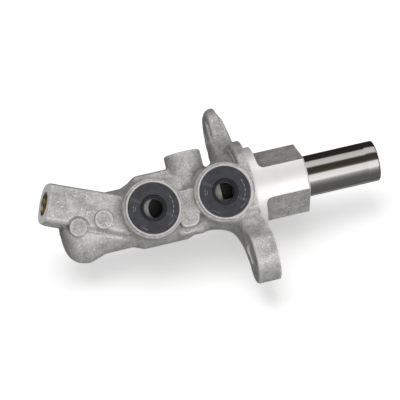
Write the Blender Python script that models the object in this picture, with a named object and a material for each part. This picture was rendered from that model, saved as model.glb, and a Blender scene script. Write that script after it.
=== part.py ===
"""Tandem brake master cylinder: a casting with two pistons and the parts in its bore.

World frame: origin on the bore axis in the plane of the flange's rear face,
+X along the bore towards the protruding piston (the pedal end), -X towards the
closed nose, the two flange ears along -Y and +Y, +Z up. The casting's own frame
is turned 45 degrees about X: its local z (called T) is the way the two reservoir
grommets face, and its local y (called U) is the way the rear outlet points.
Dimensions are millimetres; MM converts them to metres.
"""
import math

import bmesh
import bpy
from mathutils import Matrix, Vector

MM = 0.001
FULL_TURN = 2 * math.pi
TILT = math.radians(45)          # casting frame about X
TOWARDS_U, TOWARDS_T = (0, 1, 0), (0, 0, 1)  # in the casting frame
SEGMENTS = 32                    # round a turned piece, unless it gives its own
GAP = 0.3                        # clearance between fitted parts

# ---- bore ----
BORE_R = 13.1                    # bore wall
BORE_END = -105.0
SEAL_GROOVE_R = 15.3
GROOVES = {                      # ring grooves in the bore wall: X from, X to
    "secondary_pressure": (-75.0, -70.0),
    "secondary_feed": (-69.0, -65.0),
    "secondary_isolation": (-64.0, -59.0),
    "primary_pressure": (-18.0, -13.0),
    "primary_feed": (-11.8, -4.2),
}
MOUTH_X, MOUTH_R = 6.0, 15.0     # wider mouth of the bore
MOUTH_CHAMFER = 0.9
CLIP_X, CLIP_R = (28.1, 30.2), 16.2  # retaining ring's groove

# ---- barrel and spigot ----
NOSE_END, NOSE_R, NOSE_CORNER, NOSE_STEPS = -111.6, 20.3, 11.0, 5
BARREL_STATIONS = [              # X, radius, from the nose to the flange
    (-97.0, NOSE_R), (-89.5, 17.3), (-72.0, 17.3), (-66.0, 19.8), (-40.0, 19.8),
    (-36.5, 17.0), (-22.0, 17.3), (-16.0, 20.5), (-12.5, 22.8), (-5.0, 22.8), (-5.0, 0),
]
SPIGOT_R, SPIGOT_LEN, SPIGOT_CHAMFER = 24.3, 32.0, 0.8
FLAT_R = 18.0                    # distance of the spigot's cast flats from the axis
FLAT_ANGLE = 62.8                # of each flat's normal from T or -T
FLAT_START = 5.2
FLAT_HALF_WIDTH = 22.0           # of the cutter
INNER_X = -8.0                   # where the spigot and gussets start, inside the casting

# ---- flange ----
FLANGE_T = 12.3                  # thickness at the ears
DISC_T, DISC_R, DISC_CHAMFER = 6.2, 29.0, 1.0
PLATE_R = 22.0                   # middle of the thick plate
EAR_PITCH = 52.0                 # bore axis to each stud hole
EAR_R, EAR_HOLE_R = 15.0, 5.1
EAR_END = 54.7                   # centre of each ear's rounded end, a little past the hole
EAR_NECK = 9.8                   # half-width of the bar between the disc and each rounded end
NECK_TAPER = 8.0                 # length over which the bar narrows away inside the ear
BLEND_POWER = 6.0                # higher makes tighter corners where disc, bar and ear meet
EDGE_STEPS, EAR_STEPS = 28, 7    # along the bar, and round a quarter of the ear
EAR_LINE = Matrix.Rotation(math.radians(3.1), 4, "X")  # the stud holes' line, a little off Y
GUSSET_R, GUSSET_STEPS = 20.0, 8
GUSSET_ROOT, GUSSET_TOE, GUSSET_TOP = 12.0, 17.0, 38.0  # distances from the bore axis

# ---- reservoir bosses: heights along T ----
GROMMETS = (("front", -59.5), ("rear", -17.5))  # name, X
BOSS_R, BOSS_TOP, BOSS_BASE = 15.8, 27.5, 2
COLLAR_R, COLLAR_TOP = 17.3, 26.3  # cast collar round each machined rim
POCKET_R, POCKET_FLOOR = 14.7, 18.2
FEED_BASE = 10
FEED_HOLES = (                   # name, X, radius
    ("front", sum(GROOVES["secondary_feed"]) / 2, 2.0),
    ("rear", -9.6, 2.6),
)

# ---- outlet ports: distances along each port's own axis, from its end face ----
PORT_HOLE_R, PORT_DEPTH = 6.0, 11.0
PORT_COUNTERSINK = 1.2
DRILLING_R = 1.5
PORT_RISE = math.radians(22.5)   # front port, from -X towards U
PORT_LEAN = math.radians(10.5)   # front port, towards T
FRONT_PORT_END = (-117.4, 18.2, 5.0)  # X, U, T of the end face's centre
FRONT_PORT_DIRECTION = (
    -math.cos(PORT_RISE) * math.cos(PORT_LEAN),
    math.sin(PORT_RISE) * math.cos(PORT_LEAN),
    math.sin(PORT_LEAN),
)
PORTS = (                        # name, end centre, direction, boss radius and depth, drilling depth
    ("front", FRONT_PORT_END, FRONT_PORT_DIRECTION, 11.5, 42, 24),
    ("rear", (-33.6, 29.0, 5.0), TOWARDS_U, 10.65, 25, 19),
)

# ---- pistons ----
SKIRT_R, SKIRT_CHAMFER = 12.7, 0.6
ROD_R = 11.9                     # plunger tube
ROD_CAVITY_R = 8.0               # open end of the plunger tube
PISTON_END = 77.0
CUP_R = 9.2                      # hollow ends that take the springs
PRIMARY_NOSE, PRIMARY_FACE = -21.0, -5.0  # skirt's end, floor of the hollow behind it
SECONDARY_NOSE, SECONDARY_FACE = -78.0, -60.0
SECONDARY_BACK, SECONDARY_TAIL = -54.0, -40.0  # rear hollow's floor, rear skirt's end
PRIMARY_THREAD_END, SECONDARY_THREAD_END = -1.9, -55.5
THREAD_R = 2.3
PISTON_FEED_R, PISTON_FEED_REACH = 0.9, 16

# ---- captive springs ----
SLEEVE_FLANGE_T = 1.0
SPRING_R, WIRE_R = 7.1, 0.95     # coil's mean radius, wire's radius
END_COIL_PITCH = 2.35 * WIRE_R
STEPS_PER_TURN, WIRE_SIDES = 12, 6

# ---- rings in the bore and its mouth ----
SEAL_FIT = 0.25                  # radial clearance round the skirt or plunger tube
RING_INNER_R = SKIRT_R + SEAL_FIT
RING_OUTER_R = SEAL_GROOVE_R - GAP
MOUTH_RING_R = MOUTH_R - GAP
GUIDE_R = 12.25                  # hole of the stop washer and guide bush
WASHER_END, SEAL_END = 7.8, 13.8  # X of the washer's and the mouth seal's pedal ends

for old in list(bpy.data.objects):
    bpy.data.objects.remove(old, do_unlink=True)
for collection in (bpy.data.meshes, bpy.data.curves, bpy.data.materials):
    for item in list(collection):
        collection.remove(item)


# ---------------------------------------------------------------- materials
def material(name, colour, roughness, metallic):
    made = bpy.data.materials.new(name)
    made.use_nodes = True
    inputs = made.node_tree.nodes["Principled BSDF"].inputs
    inputs["Base Color"].default_value = (*colour, 1)
    inputs["Roughness"].default_value = roughness
    inputs["Metallic"].default_value = metallic
    made.diffuse_color = (*colour, 1)
    return made


CAST = material("cast_aluminium", colour=(0.36, 0.36, 0.34), roughness=0.55, metallic=0.9)
ANODISED = material("anodised_piston", colour=(0.62, 0.61, 0.60), roughness=0.18, metallic=1.0)
STEEL = material("spring_steel", colour=(0.30, 0.30, 0.31), roughness=0.3, metallic=1.0)
ZINC = material("zinc_steel", colour=(0.55, 0.55, 0.53), roughness=0.35, metallic=1.0)
RUBBER = material("rubber", colour=(0.045, 0.047, 0.05), roughness=0.6, metallic=0.0)
NYLON = material("nylon", colour=(0.55, 0.52, 0.44), roughness=0.45, metallic=0.0)
BRASS = material("brass", colour=(0.70, 0.50, 0.22), roughness=0.3, metallic=1.0)

casting_frame = bpy.data.objects.new("casting_frame", None)
casting_frame.rotation_euler = (TILT, 0, 0)
bpy.context.scene.collection.objects.link(casting_frame)


# ------------------------------------------------------------------ helpers
def finish(name, shape, surface, parent=None, helper=False, smooth=True):
    """Turn a bmesh into a linked object; a helper only serves a boolean."""
    bmesh.ops.recalc_face_normals(shape, faces=shape.faces)
    mesh = bpy.data.meshes.new(name)
    shape.to_mesh(mesh)
    shape.free()
    obj = bpy.data.objects.new(name, mesh)
    bpy.context.scene.collection.objects.link(obj)
    if surface:
        mesh.materials.append(surface)
    if smooth:
        mesh.shade_smooth()
        mesh.set_sharp_from_angle(angle=math.radians(32))
    if helper:
        obj.hide_render = True
        obj.display_type = "WIRE"
    obj.parent = parent
    return obj


def spun(profile, segments=SEGMENTS, angle=FULL_TURN):
    """A profile of (X, radius) points turned about X.

    Points at radius 0 close the shape on the axis; otherwise the profile is a closed loop.
    """
    shape = bmesh.new()
    points = [shape.verts.new((x * MM, 0, radius * MM)) for x, radius in profile]
    pairs = list(zip(points, points[1:]))
    if min(radius for _, radius in profile) > 0:
        pairs.append((points[-1], points[0]))
    geometry = points + [shape.edges.new(pair) for pair in pairs]
    whole = angle == FULL_TURN
    if not whole:
        # A face on the profile caps the ends of a part turn.
        geometry = [shape.faces.new(points)] + geometry
    bmesh.ops.spin(shape, geom=geometry, cent=(0, 0, 0), axis=(1, 0, 0),
                   angle=angle, steps=segments, use_merge=whole)
    bmesh.ops.remove_doubles(shape, verts=shape.verts, dist=1e-7)
    return shape


def lathe(name, profile, surface, segments=SEGMENTS, parent=None, matrix=None,
          helper=False, angle=FULL_TURN):
    shape = spun(profile, segments, angle)
    if matrix is not None:
        bmesh.ops.transform(shape, matrix=matrix, verts=shape.verts)
    return finish(name, shape, surface, parent, helper)


def turned_helper(name, profile, segments=SEGMENTS, parent=casting_frame, matrix=None):
    return lathe(name, profile, None, segments, parent, matrix, helper=True)


def along(origin, direction):
    """A matrix that puts a shape turned about X at origin (mm), its X along direction."""
    turn = Vector((1, 0, 0)).rotation_difference(Vector(direction).normalized())
    return Matrix.Translation(Vector(origin) * MM) @ turn.to_matrix().to_4x4()


def rod(name, radius, start, end, origin, direction, segments, chamfer=0.0,
        parent=casting_frame):
    """Solid round helper; the chamfer is at its end."""
    rim = [(end, radius)]
    if chamfer:
        rim = [(end - chamfer, radius), (end, radius - chamfer)]
    profile = [(start, 0), (start, radius), *rim, (end, 0)]
    return turned_helper(name, profile, segments, parent, along(origin, direction))


def ear_prism(name, outline, shift):
    """Helper from a flat outline of (x, y, z) points extruded by shift, set on the ears' line."""
    shape = bmesh.new()
    corners = [shape.verts.new((x * MM, y * MM, z * MM)) for x, y, z in outline]
    made = bmesh.ops.extrude_face_region(shape, geom=[shape.faces.new(corners)])
    moved = [v for v in made["geom"] if isinstance(v, bmesh.types.BMVert)]
    bmesh.ops.translate(shape, verts=moved, vec=[length * MM for length in shift])
    bmesh.ops.transform(shape, matrix=EAR_LINE, verts=shape.verts)
    return finish(name, shape, None, helper=True, smooth=False)


def block(name, low, high, turn=Matrix.Identity(4)):
    """Box helper between two corners (X, U, T), then turned."""
    shape = bmesh.new()
    bmesh.ops.create_cube(shape, size=1)
    size = [(b - a) * MM for a, b in zip(low, high)]
    middle = [(a + b) / 2 * MM for a, b in zip(low, high)]
    matrix = turn @ Matrix.Translation(middle) @ Matrix.Diagonal((*size, 1))
    bmesh.ops.transform(shape, matrix=matrix, verts=shape.verts)
    return finish(name, shape, None, casting_frame, helper=True, smooth=False)


def boolean(obj, other, operation, solver="EXACT"):
    modifier = obj.modifiers.new(f"{operation.lower()}_{other.name}", "BOOLEAN")
    modifier.operation = operation
    modifier.solver = solver
    modifier.object = other


# ------------------------------------------------------------- the casting
def barrel():
    """Outside of the barrel, its nose rounded from the end face to the side."""
    profile = [(NOSE_END, 0)]
    for i in range(NOSE_STEPS + 1):
        angle = math.radians(90 * i / NOSE_STEPS)
        profile.append((NOSE_END + NOSE_CORNER * (1 - math.cos(angle)),
                        NOSE_R - NOSE_CORNER + NOSE_CORNER * math.sin(angle)))
    return lathe("cylinder_body", profile + BARREL_STATIONS, CAST, 40, casting_frame)


def reservoir_rods(part, radius, top):
    return [rod(f"{name}_reservoir_{part}", radius, BOSS_BASE, top, (x, 0, 0), TOWARDS_T, 40)
            for name, x in GROMMETS]


def port_pad():
    """Block under the front port, sloping with it but not leaning."""
    slope = along((*FRONT_PORT_END[:2], 0), (math.cos(PORT_RISE), -math.sin(PORT_RISE), 0))
    return block("port_pad", (6, -10.5, -4), (48, 10.5, 17.4), slope)


def flange_plate():
    """Thick plate: middle, necks and rounded ears, blended into one outline."""
    edge = []                    # distance along the ears' line, half-width
    for i in range(EDGE_STEPS):
        y = EAR_END * i / EDGE_STEPS
        widths = (
            math.sqrt(max(PLATE_R ** 2 - y * y, 0)),
            math.sqrt(max(EAR_R ** 2 - (EAR_END - y) ** 2, 0)),
            EAR_NECK * min(1, (EAR_END - y) / NECK_TAPER),
        )
        edge.append((y, sum(width ** BLEND_POWER for width in widths) ** (1 / BLEND_POWER)))
    for i in range(EAR_STEPS):
        angle = math.radians(90 * i / EAR_STEPS)
        edge.append((EAR_END + EAR_R * math.sin(angle), EAR_R * math.cos(angle)))
    outline = []
    for side in (1, -1):
        outline += [(-FLANGE_T, side * y, -side * width) for y, width in edge[1:]]
        outline.append((-FLANGE_T, side * (EAR_END + EAR_R), 0))
        outline += [(-FLANGE_T, side * y, side * width) for y, width in reversed(edge)]
    return ear_prism("flange_plate", outline, (FLANGE_T, 0, 0))


def flange_disc():
    return turned_helper("flange_disc", [
        (-DISC_T, 0), (-DISC_T, DISC_R - DISC_CHAMFER), (-DISC_T + DISC_CHAMFER, DISC_R),
        (0, DISC_R), (0, 0)], 72)


def spigot_boss():
    return turned_helper("spigot_boss", [
        (INNER_X, 0), (INNER_X, SPIGOT_R), (SPIGOT_LEN - SPIGOT_CHAMFER, SPIGOT_R),
        (SPIGOT_LEN, SPIGOT_R - SPIGOT_CHAMFER), (SPIGOT_LEN, 0)], 48)


def gusset(name, side, half_thickness):
    """Concave web from the barrel out to the ear on one side (-1 or 1) of the bore."""
    outline = [(INNER_X, GUSSET_ROOT), (INNER_X, GUSSET_TOP)]
    stretch = GUSSET_TOP - GUSSET_TOE - GUSSET_R
    for i in range(GUSSET_STEPS + 1):
        part = i / GUSSET_STEPS
        angle = math.radians(90 * part)
        outline.append((
            -FLANGE_T - GUSSET_R + GUSSET_R * math.cos(angle),
            GUSSET_TOE + GUSSET_R - GUSSET_R * math.sin(angle) + stretch * (1 - part)))
    outline.append((-FLANGE_T - GUSSET_R, GUSSET_ROOT))
    return ear_prism(name, [(x, side * y, -half_thickness) for x, y in outline],
                     (0, 0, 2 * half_thickness))


def bore_cutter():
    profile = [(BORE_END, 0), (BORE_END, BORE_R - 0.8), (BORE_END + 0.8, BORE_R)]
    for start, stop in sorted(GROOVES.values()):
        profile += [(start, BORE_R), (start, SEAL_GROOVE_R),
                    (stop, SEAL_GROOVE_R), (stop, BORE_R)]
    flare_r = MOUTH_R + MOUTH_CHAMFER
    profile += [
        (MOUTH_X, BORE_R), (MOUTH_X, MOUTH_R), (CLIP_X[0], MOUTH_R), (CLIP_X[0], CLIP_R),
        (CLIP_X[1], CLIP_R), (CLIP_X[1], MOUTH_R), (SPIGOT_LEN - 0.8, MOUTH_R),
        (SPIGOT_LEN + 0.2, flare_r), (SPIGOT_LEN + 2, flare_r), (SPIGOT_LEN + 2, 0)]
    return turned_helper("bore_cutter", profile)


def port_cutters(name, end, direction, drilling_depth):
    """Countersunk port hole and the thin drilling from its floor."""
    rim_r = PORT_HOLE_R + PORT_COUNTERSINK
    hole = [(-PORT_DEPTH, 0), (-PORT_DEPTH, PORT_HOLE_R), (-1.0, PORT_HOLE_R),
            (0.2, rim_r), (3, rim_r), (3, 0)]
    return [
        turned_helper(f"{name}_port_cutter", hole, matrix=along(end, direction)),
        rod(f"{name}_drilling_cutter", DRILLING_R, -drilling_depth, -PORT_DEPTH + 1,
            end, direction, 12),
    ]


def stud_hole_cutter(number, side):
    place = EAR_LINE @ Matrix.Translation((0, side * EAR_PITCH * MM, 0))
    hole = [(-20, 0), (-20, EAR_HOLE_R), (4, EAR_HOLE_R), (4, 0)]
    return turned_helper(f"stud_hole_cutter_{number}", hole, 24, None, place)


def spigot_flat_cutter(number, angle):
    return block(f"spigot_flat_cutter_{number}", (FLAT_START, -FLAT_HALF_WIDTH, FLAT_R),
                 (SPIGOT_LEN + 3, FLAT_HALF_WIDTH, SPIGOT_R + 6),
                 Matrix.Rotation(math.radians(angle), 4, "X"))


cylinder_body = barrel()
unions = [rod(f"{name}_port_boss", radius, -depth, 0, end, direction, 36, 0.5)
          for name, end, direction, radius, depth, _ in PORTS]
unions += reservoir_rods("collar", COLLAR_R, COLLAR_TOP)
unions.append(port_pad())
unions += reservoir_rods("boss", BOSS_R, BOSS_TOP)
unions += [
    block("web_platform", (-48, -13, 4), (-30, 6.5, 21.5)),
    block("upper_rib", (-65, 2, -7), (-38, 21.8, 8)),
    block("rear_port_web", (-40, 2, -8), (-22, 18.5, 8)),
    flange_plate(),
    flange_disc(),
    spigot_boss(),
    gusset("near_ear_gusset", side=-1, half_thickness=8.5),
    gusset("far_ear_gusset", side=1, half_thickness=6.0),
]

cutters = [bore_cutter()]
for name, x in GROMMETS:
    cutters.append(rod(f"{name}_pocket_cutter", POCKET_R, POCKET_FLOOR, BOSS_TOP + 3,
                       (x, 0, 0), TOWARDS_T, 40))
for name, x, radius in FEED_HOLES:
    cutters.append(rod(f"{name}_feed_cutter", radius, FEED_BASE, POCKET_FLOOR + 1,
                       (x, 0, 0), TOWARDS_T, 16))
for name, end, direction, _, _, drilling_depth in PORTS:
    cutters += port_cutters(name, end, direction, drilling_depth)
for number, side in enumerate((-1, 1), 1):
    cutters.append(stud_hole_cutter(number, side))
for number, angle in enumerate((FLAT_ANGLE, -FLAT_ANGLE, 180 - FLAT_ANGLE, 180 + FLAT_ANGLE), 1):
    cutters.append(spigot_flat_cutter(number, angle))

# The exact solver leaves open slivers where this many round bosses meet, so the
# casting uses MANIFOLD.
for operation, tools in (("UNION", unions), ("DIFFERENCE", cutters)):
    for tool in tools:
        boolean(cylinder_body, tool, operation, "MANIFOLD")


# ----------------------------------------------------------------- pistons
def piston(name, profile, face, thread_end, feed_x):
    """Turned piston with a screw hole in its nose-side face and two crossed feed holes."""
    body = lathe(f"{name}_piston", profile, ANODISED)
    holes = [rod(f"{name}_thread_cutter", THREAD_R, face - 1, thread_end,
                 (0, 0, 0), (1, 0, 0), 16, parent=None)]
    for k in range(2):
        angle = math.radians(45 + 90 * k)
        holes.append(rod(
            f"{name}_piston_feed_cutter_{k + 1}", PISTON_FEED_R,
            -PISTON_FEED_REACH, PISTON_FEED_REACH, (feed_x, 0, 0),
            (0, math.cos(angle), math.sin(angle)), 8, parent=None))
    for hole in holes:
        boolean(body, hole, "DIFFERENCE")


def front_skirt(face, nose):
    """Profile of a piston's nose end: floor of the hollow, then out round the skirt's tip."""
    return [(face, 0), (face, CUP_R), (nose, CUP_R), (nose, SKIRT_R - SKIRT_CHAMFER),
            (nose + SKIRT_CHAMFER, SKIRT_R)]


SKIRT_BACK = MOUTH_X - GAP       # step from the primary skirt to the plunger tube
piston("primary", front_skirt(PRIMARY_FACE, PRIMARY_NOSE) + [
    (SKIRT_BACK, SKIRT_R), (SKIRT_BACK, ROD_R),
    (PISTON_END - 1.0, ROD_R), (PISTON_END, ROD_R - 1.0), (PISTON_END, ROD_CAVITY_R + 1.0),
    (PISTON_END - 1.2, ROD_CAVITY_R), (-1.2, ROD_CAVITY_R), (-1.2, 4.0), (0.0, 4.0), (0.0, 0),
], PRIMARY_FACE, PRIMARY_THREAD_END, feed_x=-12.3)
piston("secondary", front_skirt(SECONDARY_FACE, SECONDARY_NOSE) + [
    (SECONDARY_TAIL - SKIRT_CHAMFER, SKIRT_R), (SECONDARY_TAIL, SKIRT_R - SKIRT_CHAMFER),
    (SECONDARY_TAIL, CUP_R), (SECONDARY_BACK, CUP_R), (SECONDARY_BACK, 0),
], SECONDARY_FACE, SECONDARY_THREAD_END, feed_x=-69.4)


# ------------------------------------- captive springs, sleeves and screws
def sleeve(name, seat, end):
    """Thin tube with a spring flange at its seat and an inward lip at its other end."""
    start = seat + GAP
    flange = start + SLEEVE_FLANGE_T
    lathe(name, [
        (start, 3.0), (start, 8.4), (flange, 8.4), (flange, 5.0), (end, 5.0), (end, 2.7),
        (end - 1.0, 2.7), (end - 1.0, 4.2), (flange, 4.2), (flange, 3.0)], ZINC, 28)


def screw(name, head, tip):
    """Shouldered screw: head inside the sleeve, shank back to the piston."""
    shoulder, shank_r = head + 2.3, THREAD_R - GAP
    lathe(name, [(head, 0), (head, 3.7), (shoulder, 3.7), (shoulder, shank_r),
                 (tip, shank_r), (tip, 0)], ZINC, 20)


def spring(name, start, end, turns):
    """Helical wire between two planes, its end coils closer than its middle ones."""
    shape = bmesh.new()
    steps = int(turns * STEPS_PER_TURN)
    length = end - start - 2 * WIRE_R
    middle_pitch = (length - 2 * END_COIL_PITCH) / (turns - 2)
    rings = []
    for i in range(steps + 1):
        turn = turns * i / steps
        if turn < 1:
            x = END_COIL_PITCH * turn
        elif turn < turns - 1:
            x = END_COIL_PITCH + middle_pitch * (turn - 1)
        else:
            x = length - END_COIL_PITCH * (turns - turn)
        angle = FULL_TURN * turn
        outward = Vector((0, math.cos(angle), math.sin(angle)))
        centre = Vector((start + WIRE_R + x, SPRING_R * math.cos(angle),
                         SPRING_R * math.sin(angle)))
        ring = []
        for j in range(WIRE_SIDES):
            around = FULL_TURN * j / WIRE_SIDES
            offset = (outward * WIRE_R * math.cos(around)
                      + Vector((WIRE_R * math.sin(around), 0, 0)))
            ring.append(shape.verts.new((centre + offset) * MM))
        rings.append(ring)
    for ring, following in zip(rings, rings[1:]):
        for j in range(WIRE_SIDES):
            k = (j + 1) % WIRE_SIDES
            shape.faces.new((ring[j], ring[k], following[k], following[j]))
    shape.faces.new(rings[0])
    shape.faces.new(rings[-1])
    finish(name, shape, STEEL)


# name, seat, sleeve's end, screw's head, thread's end, piston's face, spring turns
for name, seat, sleeve_end, head, thread_end, face, turns in (
        ("primary", SECONDARY_BACK, -29.0, -33.5, PRIMARY_THREAD_END, PRIMARY_FACE, 8),
        ("secondary", BORE_END, -79.0, -83.5, SECONDARY_THREAD_END, SECONDARY_FACE, 7.5)):
    sleeve(f"{name}_spring_sleeve", seat, sleeve_end)
    screw(f"{name}_stroke_screw", head, thread_end - 0.4)
    spring(f"{name}_spring", seat + SLEEVE_FLANGE_T + 2 * GAP, face - GAP, turns)


# -------------------------------------------------------- seals and rings
def cup_seal(name, groove, inner=RING_INNER_R, outer=RING_OUTER_R):
    """Lip seal in its groove: heel towards the pedal, two lips towards the nose."""
    lips, heel = groove[0] + GAP, groove[1] - GAP
    lathe(name, [(heel, inner), (heel, outer), (lips, outer), (lips, outer - 0.5),
                 (heel - 1.9, (inner + outer) / 2), (lips, inner + 0.5), (lips, inner)], RUBBER)


def plain_ring(name, start, end, inner, outer, surface, **turning):
    lathe(name, [(start, inner), (start, outer), (end, outer), (end, inner)], surface, **turning)


def guide_ring(name, groove, base, teeth=12):
    """Ring of thickness base whose teeth, towards the nose, leave slots for the fluid."""
    tips, back = groove[0] + GAP, groove[1] - GAP
    root = back - base
    shape = spun([(root, RING_INNER_R), (root, RING_OUTER_R),
                  (back, RING_OUTER_R), (back, RING_INNER_R)], teeth * 3)
    bmesh.ops.recalc_face_normals(shape, faces=shape.faces)
    pitch = 360 / teeth
    picked = []                  # two root faces in every three carry a tooth
    for face in shape.faces:
        centre = face.calc_center_median()
        angle = math.degrees(math.atan2(centre.z, centre.y)) % 360
        if abs(centre.x - root * MM) < 1e-6 and angle % pitch < pitch * 2 / 3:
            picked.append(face)
    made = bmesh.ops.extrude_face_region(shape, geom=picked)
    moved = [v for v in made["geom"] if isinstance(v, bmesh.types.BMVert)]
    bmesh.ops.translate(shape, verts=moved, vec=((tips - root) * MM, 0, 0))
    # The picked faces would be walls between the teeth and the ring.
    bmesh.ops.delete(shape, geom=picked, context="FACES_ONLY")
    finish(name, shape, NYLON)


for place in ("secondary_pressure", "secondary_isolation", "primary_pressure"):
    cup_seal(f"{place}_seal", GROOVES[place])
cup_seal("primary_isolation_seal", (WASHER_END, SEAL_END), ROD_R + SEAL_FIT, MOUTH_RING_R)
plain_ring("stop_washer", MOUTH_X + GAP, WASHER_END, GUIDE_R, MOUTH_RING_R, ZINC)
plain_ring("guide_bush", SEAL_END, CLIP_X[0] - GAP, GUIDE_R, MOUTH_RING_R, NYLON)
plain_ring("retaining_ring", CLIP_X[0] + GAP, CLIP_X[1] - GAP, 13.2, CLIP_R - GAP, STEEL,
           segments=30, angle=math.radians(320))
guide_ring("primary_guide_ring", GROOVES["primary_feed"], base=3.0)
guide_ring("secondary_guide_ring", GROOVES["secondary_feed"], base=1.5)


# ------------------------------------------------- grommets and tube seats
def grommet(name, x):
    """Rubber plug filling a reservoir pocket, with a hole and a raised lip round it."""
    floor, rim, outer = POCKET_FLOOR + GAP, BOSS_TOP + 0.6, POCKET_R - GAP
    lathe(f"{name}_grommet", [
        (floor, 6.4), (floor, outer), (rim - 0.2, outer), (rim, outer - 0.4), (rim, 7.9),
        (rim + 1.0, 7.5), (rim + 1.0, 6.6), (rim, 5.8), (POCKET_FLOOR + 4, 5.8)],
          RUBBER, parent=casting_frame, matrix=along((x, 0, 0), TOWARDS_T))


def tube_seat(name, end, direction):
    """Brass cone with a hole through it, on the floor of a port."""
    floor, tip, outer = -PORT_DEPTH + GAP, -PORT_DEPTH + 5.5, PORT_HOLE_R - GAP
    lathe(f"{name}_tube_seat", [
        (floor, 1.6), (floor, outer), (-PORT_DEPTH + 2.2, outer), (tip, 2.4), (tip, 1.6)],
          BRASS, 28, casting_frame, along(end, direction))


for name, x in GROMMETS:
    grommet(name, x)
for name, end, direction, *_ in PORTS:
    tube_seat(name, end, direction)
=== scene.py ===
"""Looks of a tandem brake master cylinder, built round its CAD frame.

The origin is on the bore axis in the flange's rear face. +X points to the rear,
towards the protruding piston, the ears lie along -Y and +Y, and +Z is up.
T is the way the reservoir grommets face (45 degrees between +Z and -Y) and U is
square to it (45 degrees between +Z and +Y). The casting and its fittings are
placed in (X, U, T). Lengths are millimetres until a mesh is made.
"""
import math

import bmesh
import bpy
import numpy as np
from mathutils import Matrix, Vector, noise


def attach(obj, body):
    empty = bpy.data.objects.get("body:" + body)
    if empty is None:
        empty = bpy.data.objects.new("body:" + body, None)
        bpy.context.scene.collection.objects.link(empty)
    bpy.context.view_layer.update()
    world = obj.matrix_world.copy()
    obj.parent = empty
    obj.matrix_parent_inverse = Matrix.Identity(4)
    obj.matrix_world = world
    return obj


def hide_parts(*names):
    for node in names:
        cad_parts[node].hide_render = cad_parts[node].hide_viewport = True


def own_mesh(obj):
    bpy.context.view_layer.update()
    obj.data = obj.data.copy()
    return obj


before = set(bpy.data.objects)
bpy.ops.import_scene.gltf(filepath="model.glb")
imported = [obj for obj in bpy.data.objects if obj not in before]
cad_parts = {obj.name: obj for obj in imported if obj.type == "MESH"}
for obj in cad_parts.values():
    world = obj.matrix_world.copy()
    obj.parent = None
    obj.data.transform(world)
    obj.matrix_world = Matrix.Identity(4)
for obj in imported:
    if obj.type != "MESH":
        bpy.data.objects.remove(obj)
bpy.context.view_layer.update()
MM = 0.001
SIN_45 = math.sqrt(0.5)
TILT = Matrix.Rotation(math.radians(45), 4, "X")   # (X, U, T) to (X, Y, Z)
U_AXIS, T_AXIS = (0, 1, 0), (0, 0, 1)

# ---- dimensions shared with the CAD ----
BORE_R, SKIRT_R, ROD_R = 13.1, 12.7, 11.9
BORE_END, NOSE_END = -105.0, -111.6
SPIGOT_R, SPIGOT_LEN = 24.3, 32.0
FLAT_R, FLAT_ANGLE, FLAT_START = 18.0, 62.8, 5.2  # the spigot's cast flats
FLANGE_T, DISC_T, FLANGE_R = 12.3, 6.2, 29.0
EAR_PITCH, EAR_END, EAR_R, EAR_NECK, EAR_HOLE_R = 52.0, 54.7, 15.0, 9.8, 5.1
EAR_TURN = math.radians(3.1)                      # of the stud holes' line, from Y towards Z
GROMMET_X = {"front": -59.5, "rear": -17.5}
BOSS_R, BOSS_TOP, COLLAR_R = 15.8, 27.5, 17.3
POCKET_R, POCKET_FLOOR = 14.7, 18.2
PORT_HOLE_R, PORT_DEPTH = 6.0, 11.0
PORT_END, PORT_R = (-117.4, 18.2, 5.0), 11.5      # front outlet's face
RISE, LEAN = math.radians(22.5), math.radians(10.5)
PORT_DIR = (-math.cos(RISE) * math.cos(LEAN), math.sin(RISE) * math.cos(LEAN), math.sin(LEAN))
REAR_PORT_X, REAR_PORT_T, REAR_PORT_R, REAR_PORT_END = -33.6, 5.0, 10.65, 29.0
OUTLETS = {                                       # centre of the face, way out
    "front": (PORT_END, PORT_DIR),
    "rear": ((REAR_PORT_X, REAR_PORT_END, REAR_PORT_T), U_AXIS),
}
PISTON_END, SEAL_GROOVE_R = 77.0, 15.3
GROOVES = {                                       # x range of each groove in the bore
    "secondary_pressure": (-75.0, -70.0),
    "secondary_feed": (-69.0, -65.0),
    "secondary_isolation": (-64.0, -59.0),
    "primary_pressure": (-18.0, -13.0),
    "primary_feed": (-11.8, -4.2),
}
MOUTH_X, MOUTH_R = 6.0, 15.0
CLIP_START, CLIP_STOP, CLIP_R = 28.1, 30.2, 16.2
GAP = 0.3                                         # between a fitting and its seat
RUNNING_GAP = 0.25                                # between a seal and the piston


# ================================================================ materials
class Wiring:
    """Shader nodes of one tree; inputs take a number, a colour or a socket."""

    def __init__(self, tree):
        self.tree = tree

    def new(self, kind, **settings):
        node = self.tree.nodes.new(kind)
        for key, value in settings.items():
            setattr(node, key, value)
        return node

    def feed(self, value, socket):
        if isinstance(value, (int, float)):
            socket.default_value = value
        elif isinstance(value, tuple):
            socket.default_value = (*value, 1) if socket.type == "RGBA" else value
        else:
            self.tree.links.new(value, socket)

    def math(self, operation, *values):
        node = self.new("ShaderNodeMath", operation=operation)
        for value, socket in zip(values, node.inputs):
            self.feed(value, socket)
        return node.outputs[0]

    def mix(self, factor, under, over):
        node = self.new("ShaderNodeMix", data_type="RGBA")
        self.feed(factor, node.inputs["Factor"])
        self.feed(under, node.inputs[6])
        self.feed(over, node.inputs[7])
        return node.outputs[2]

    def scaled(self, vector, scale):
        node = self.new("ShaderNodeVectorMath", operation="SCALE")
        self.feed(vector, node.inputs[0])
        self.feed(scale, node.inputs["Scale"])
        return node.outputs[0]

    def separate(self, vector):
        node = self.new("ShaderNodeSeparateXYZ")
        self.feed(vector, node.inputs[0])
        return node.outputs


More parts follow.
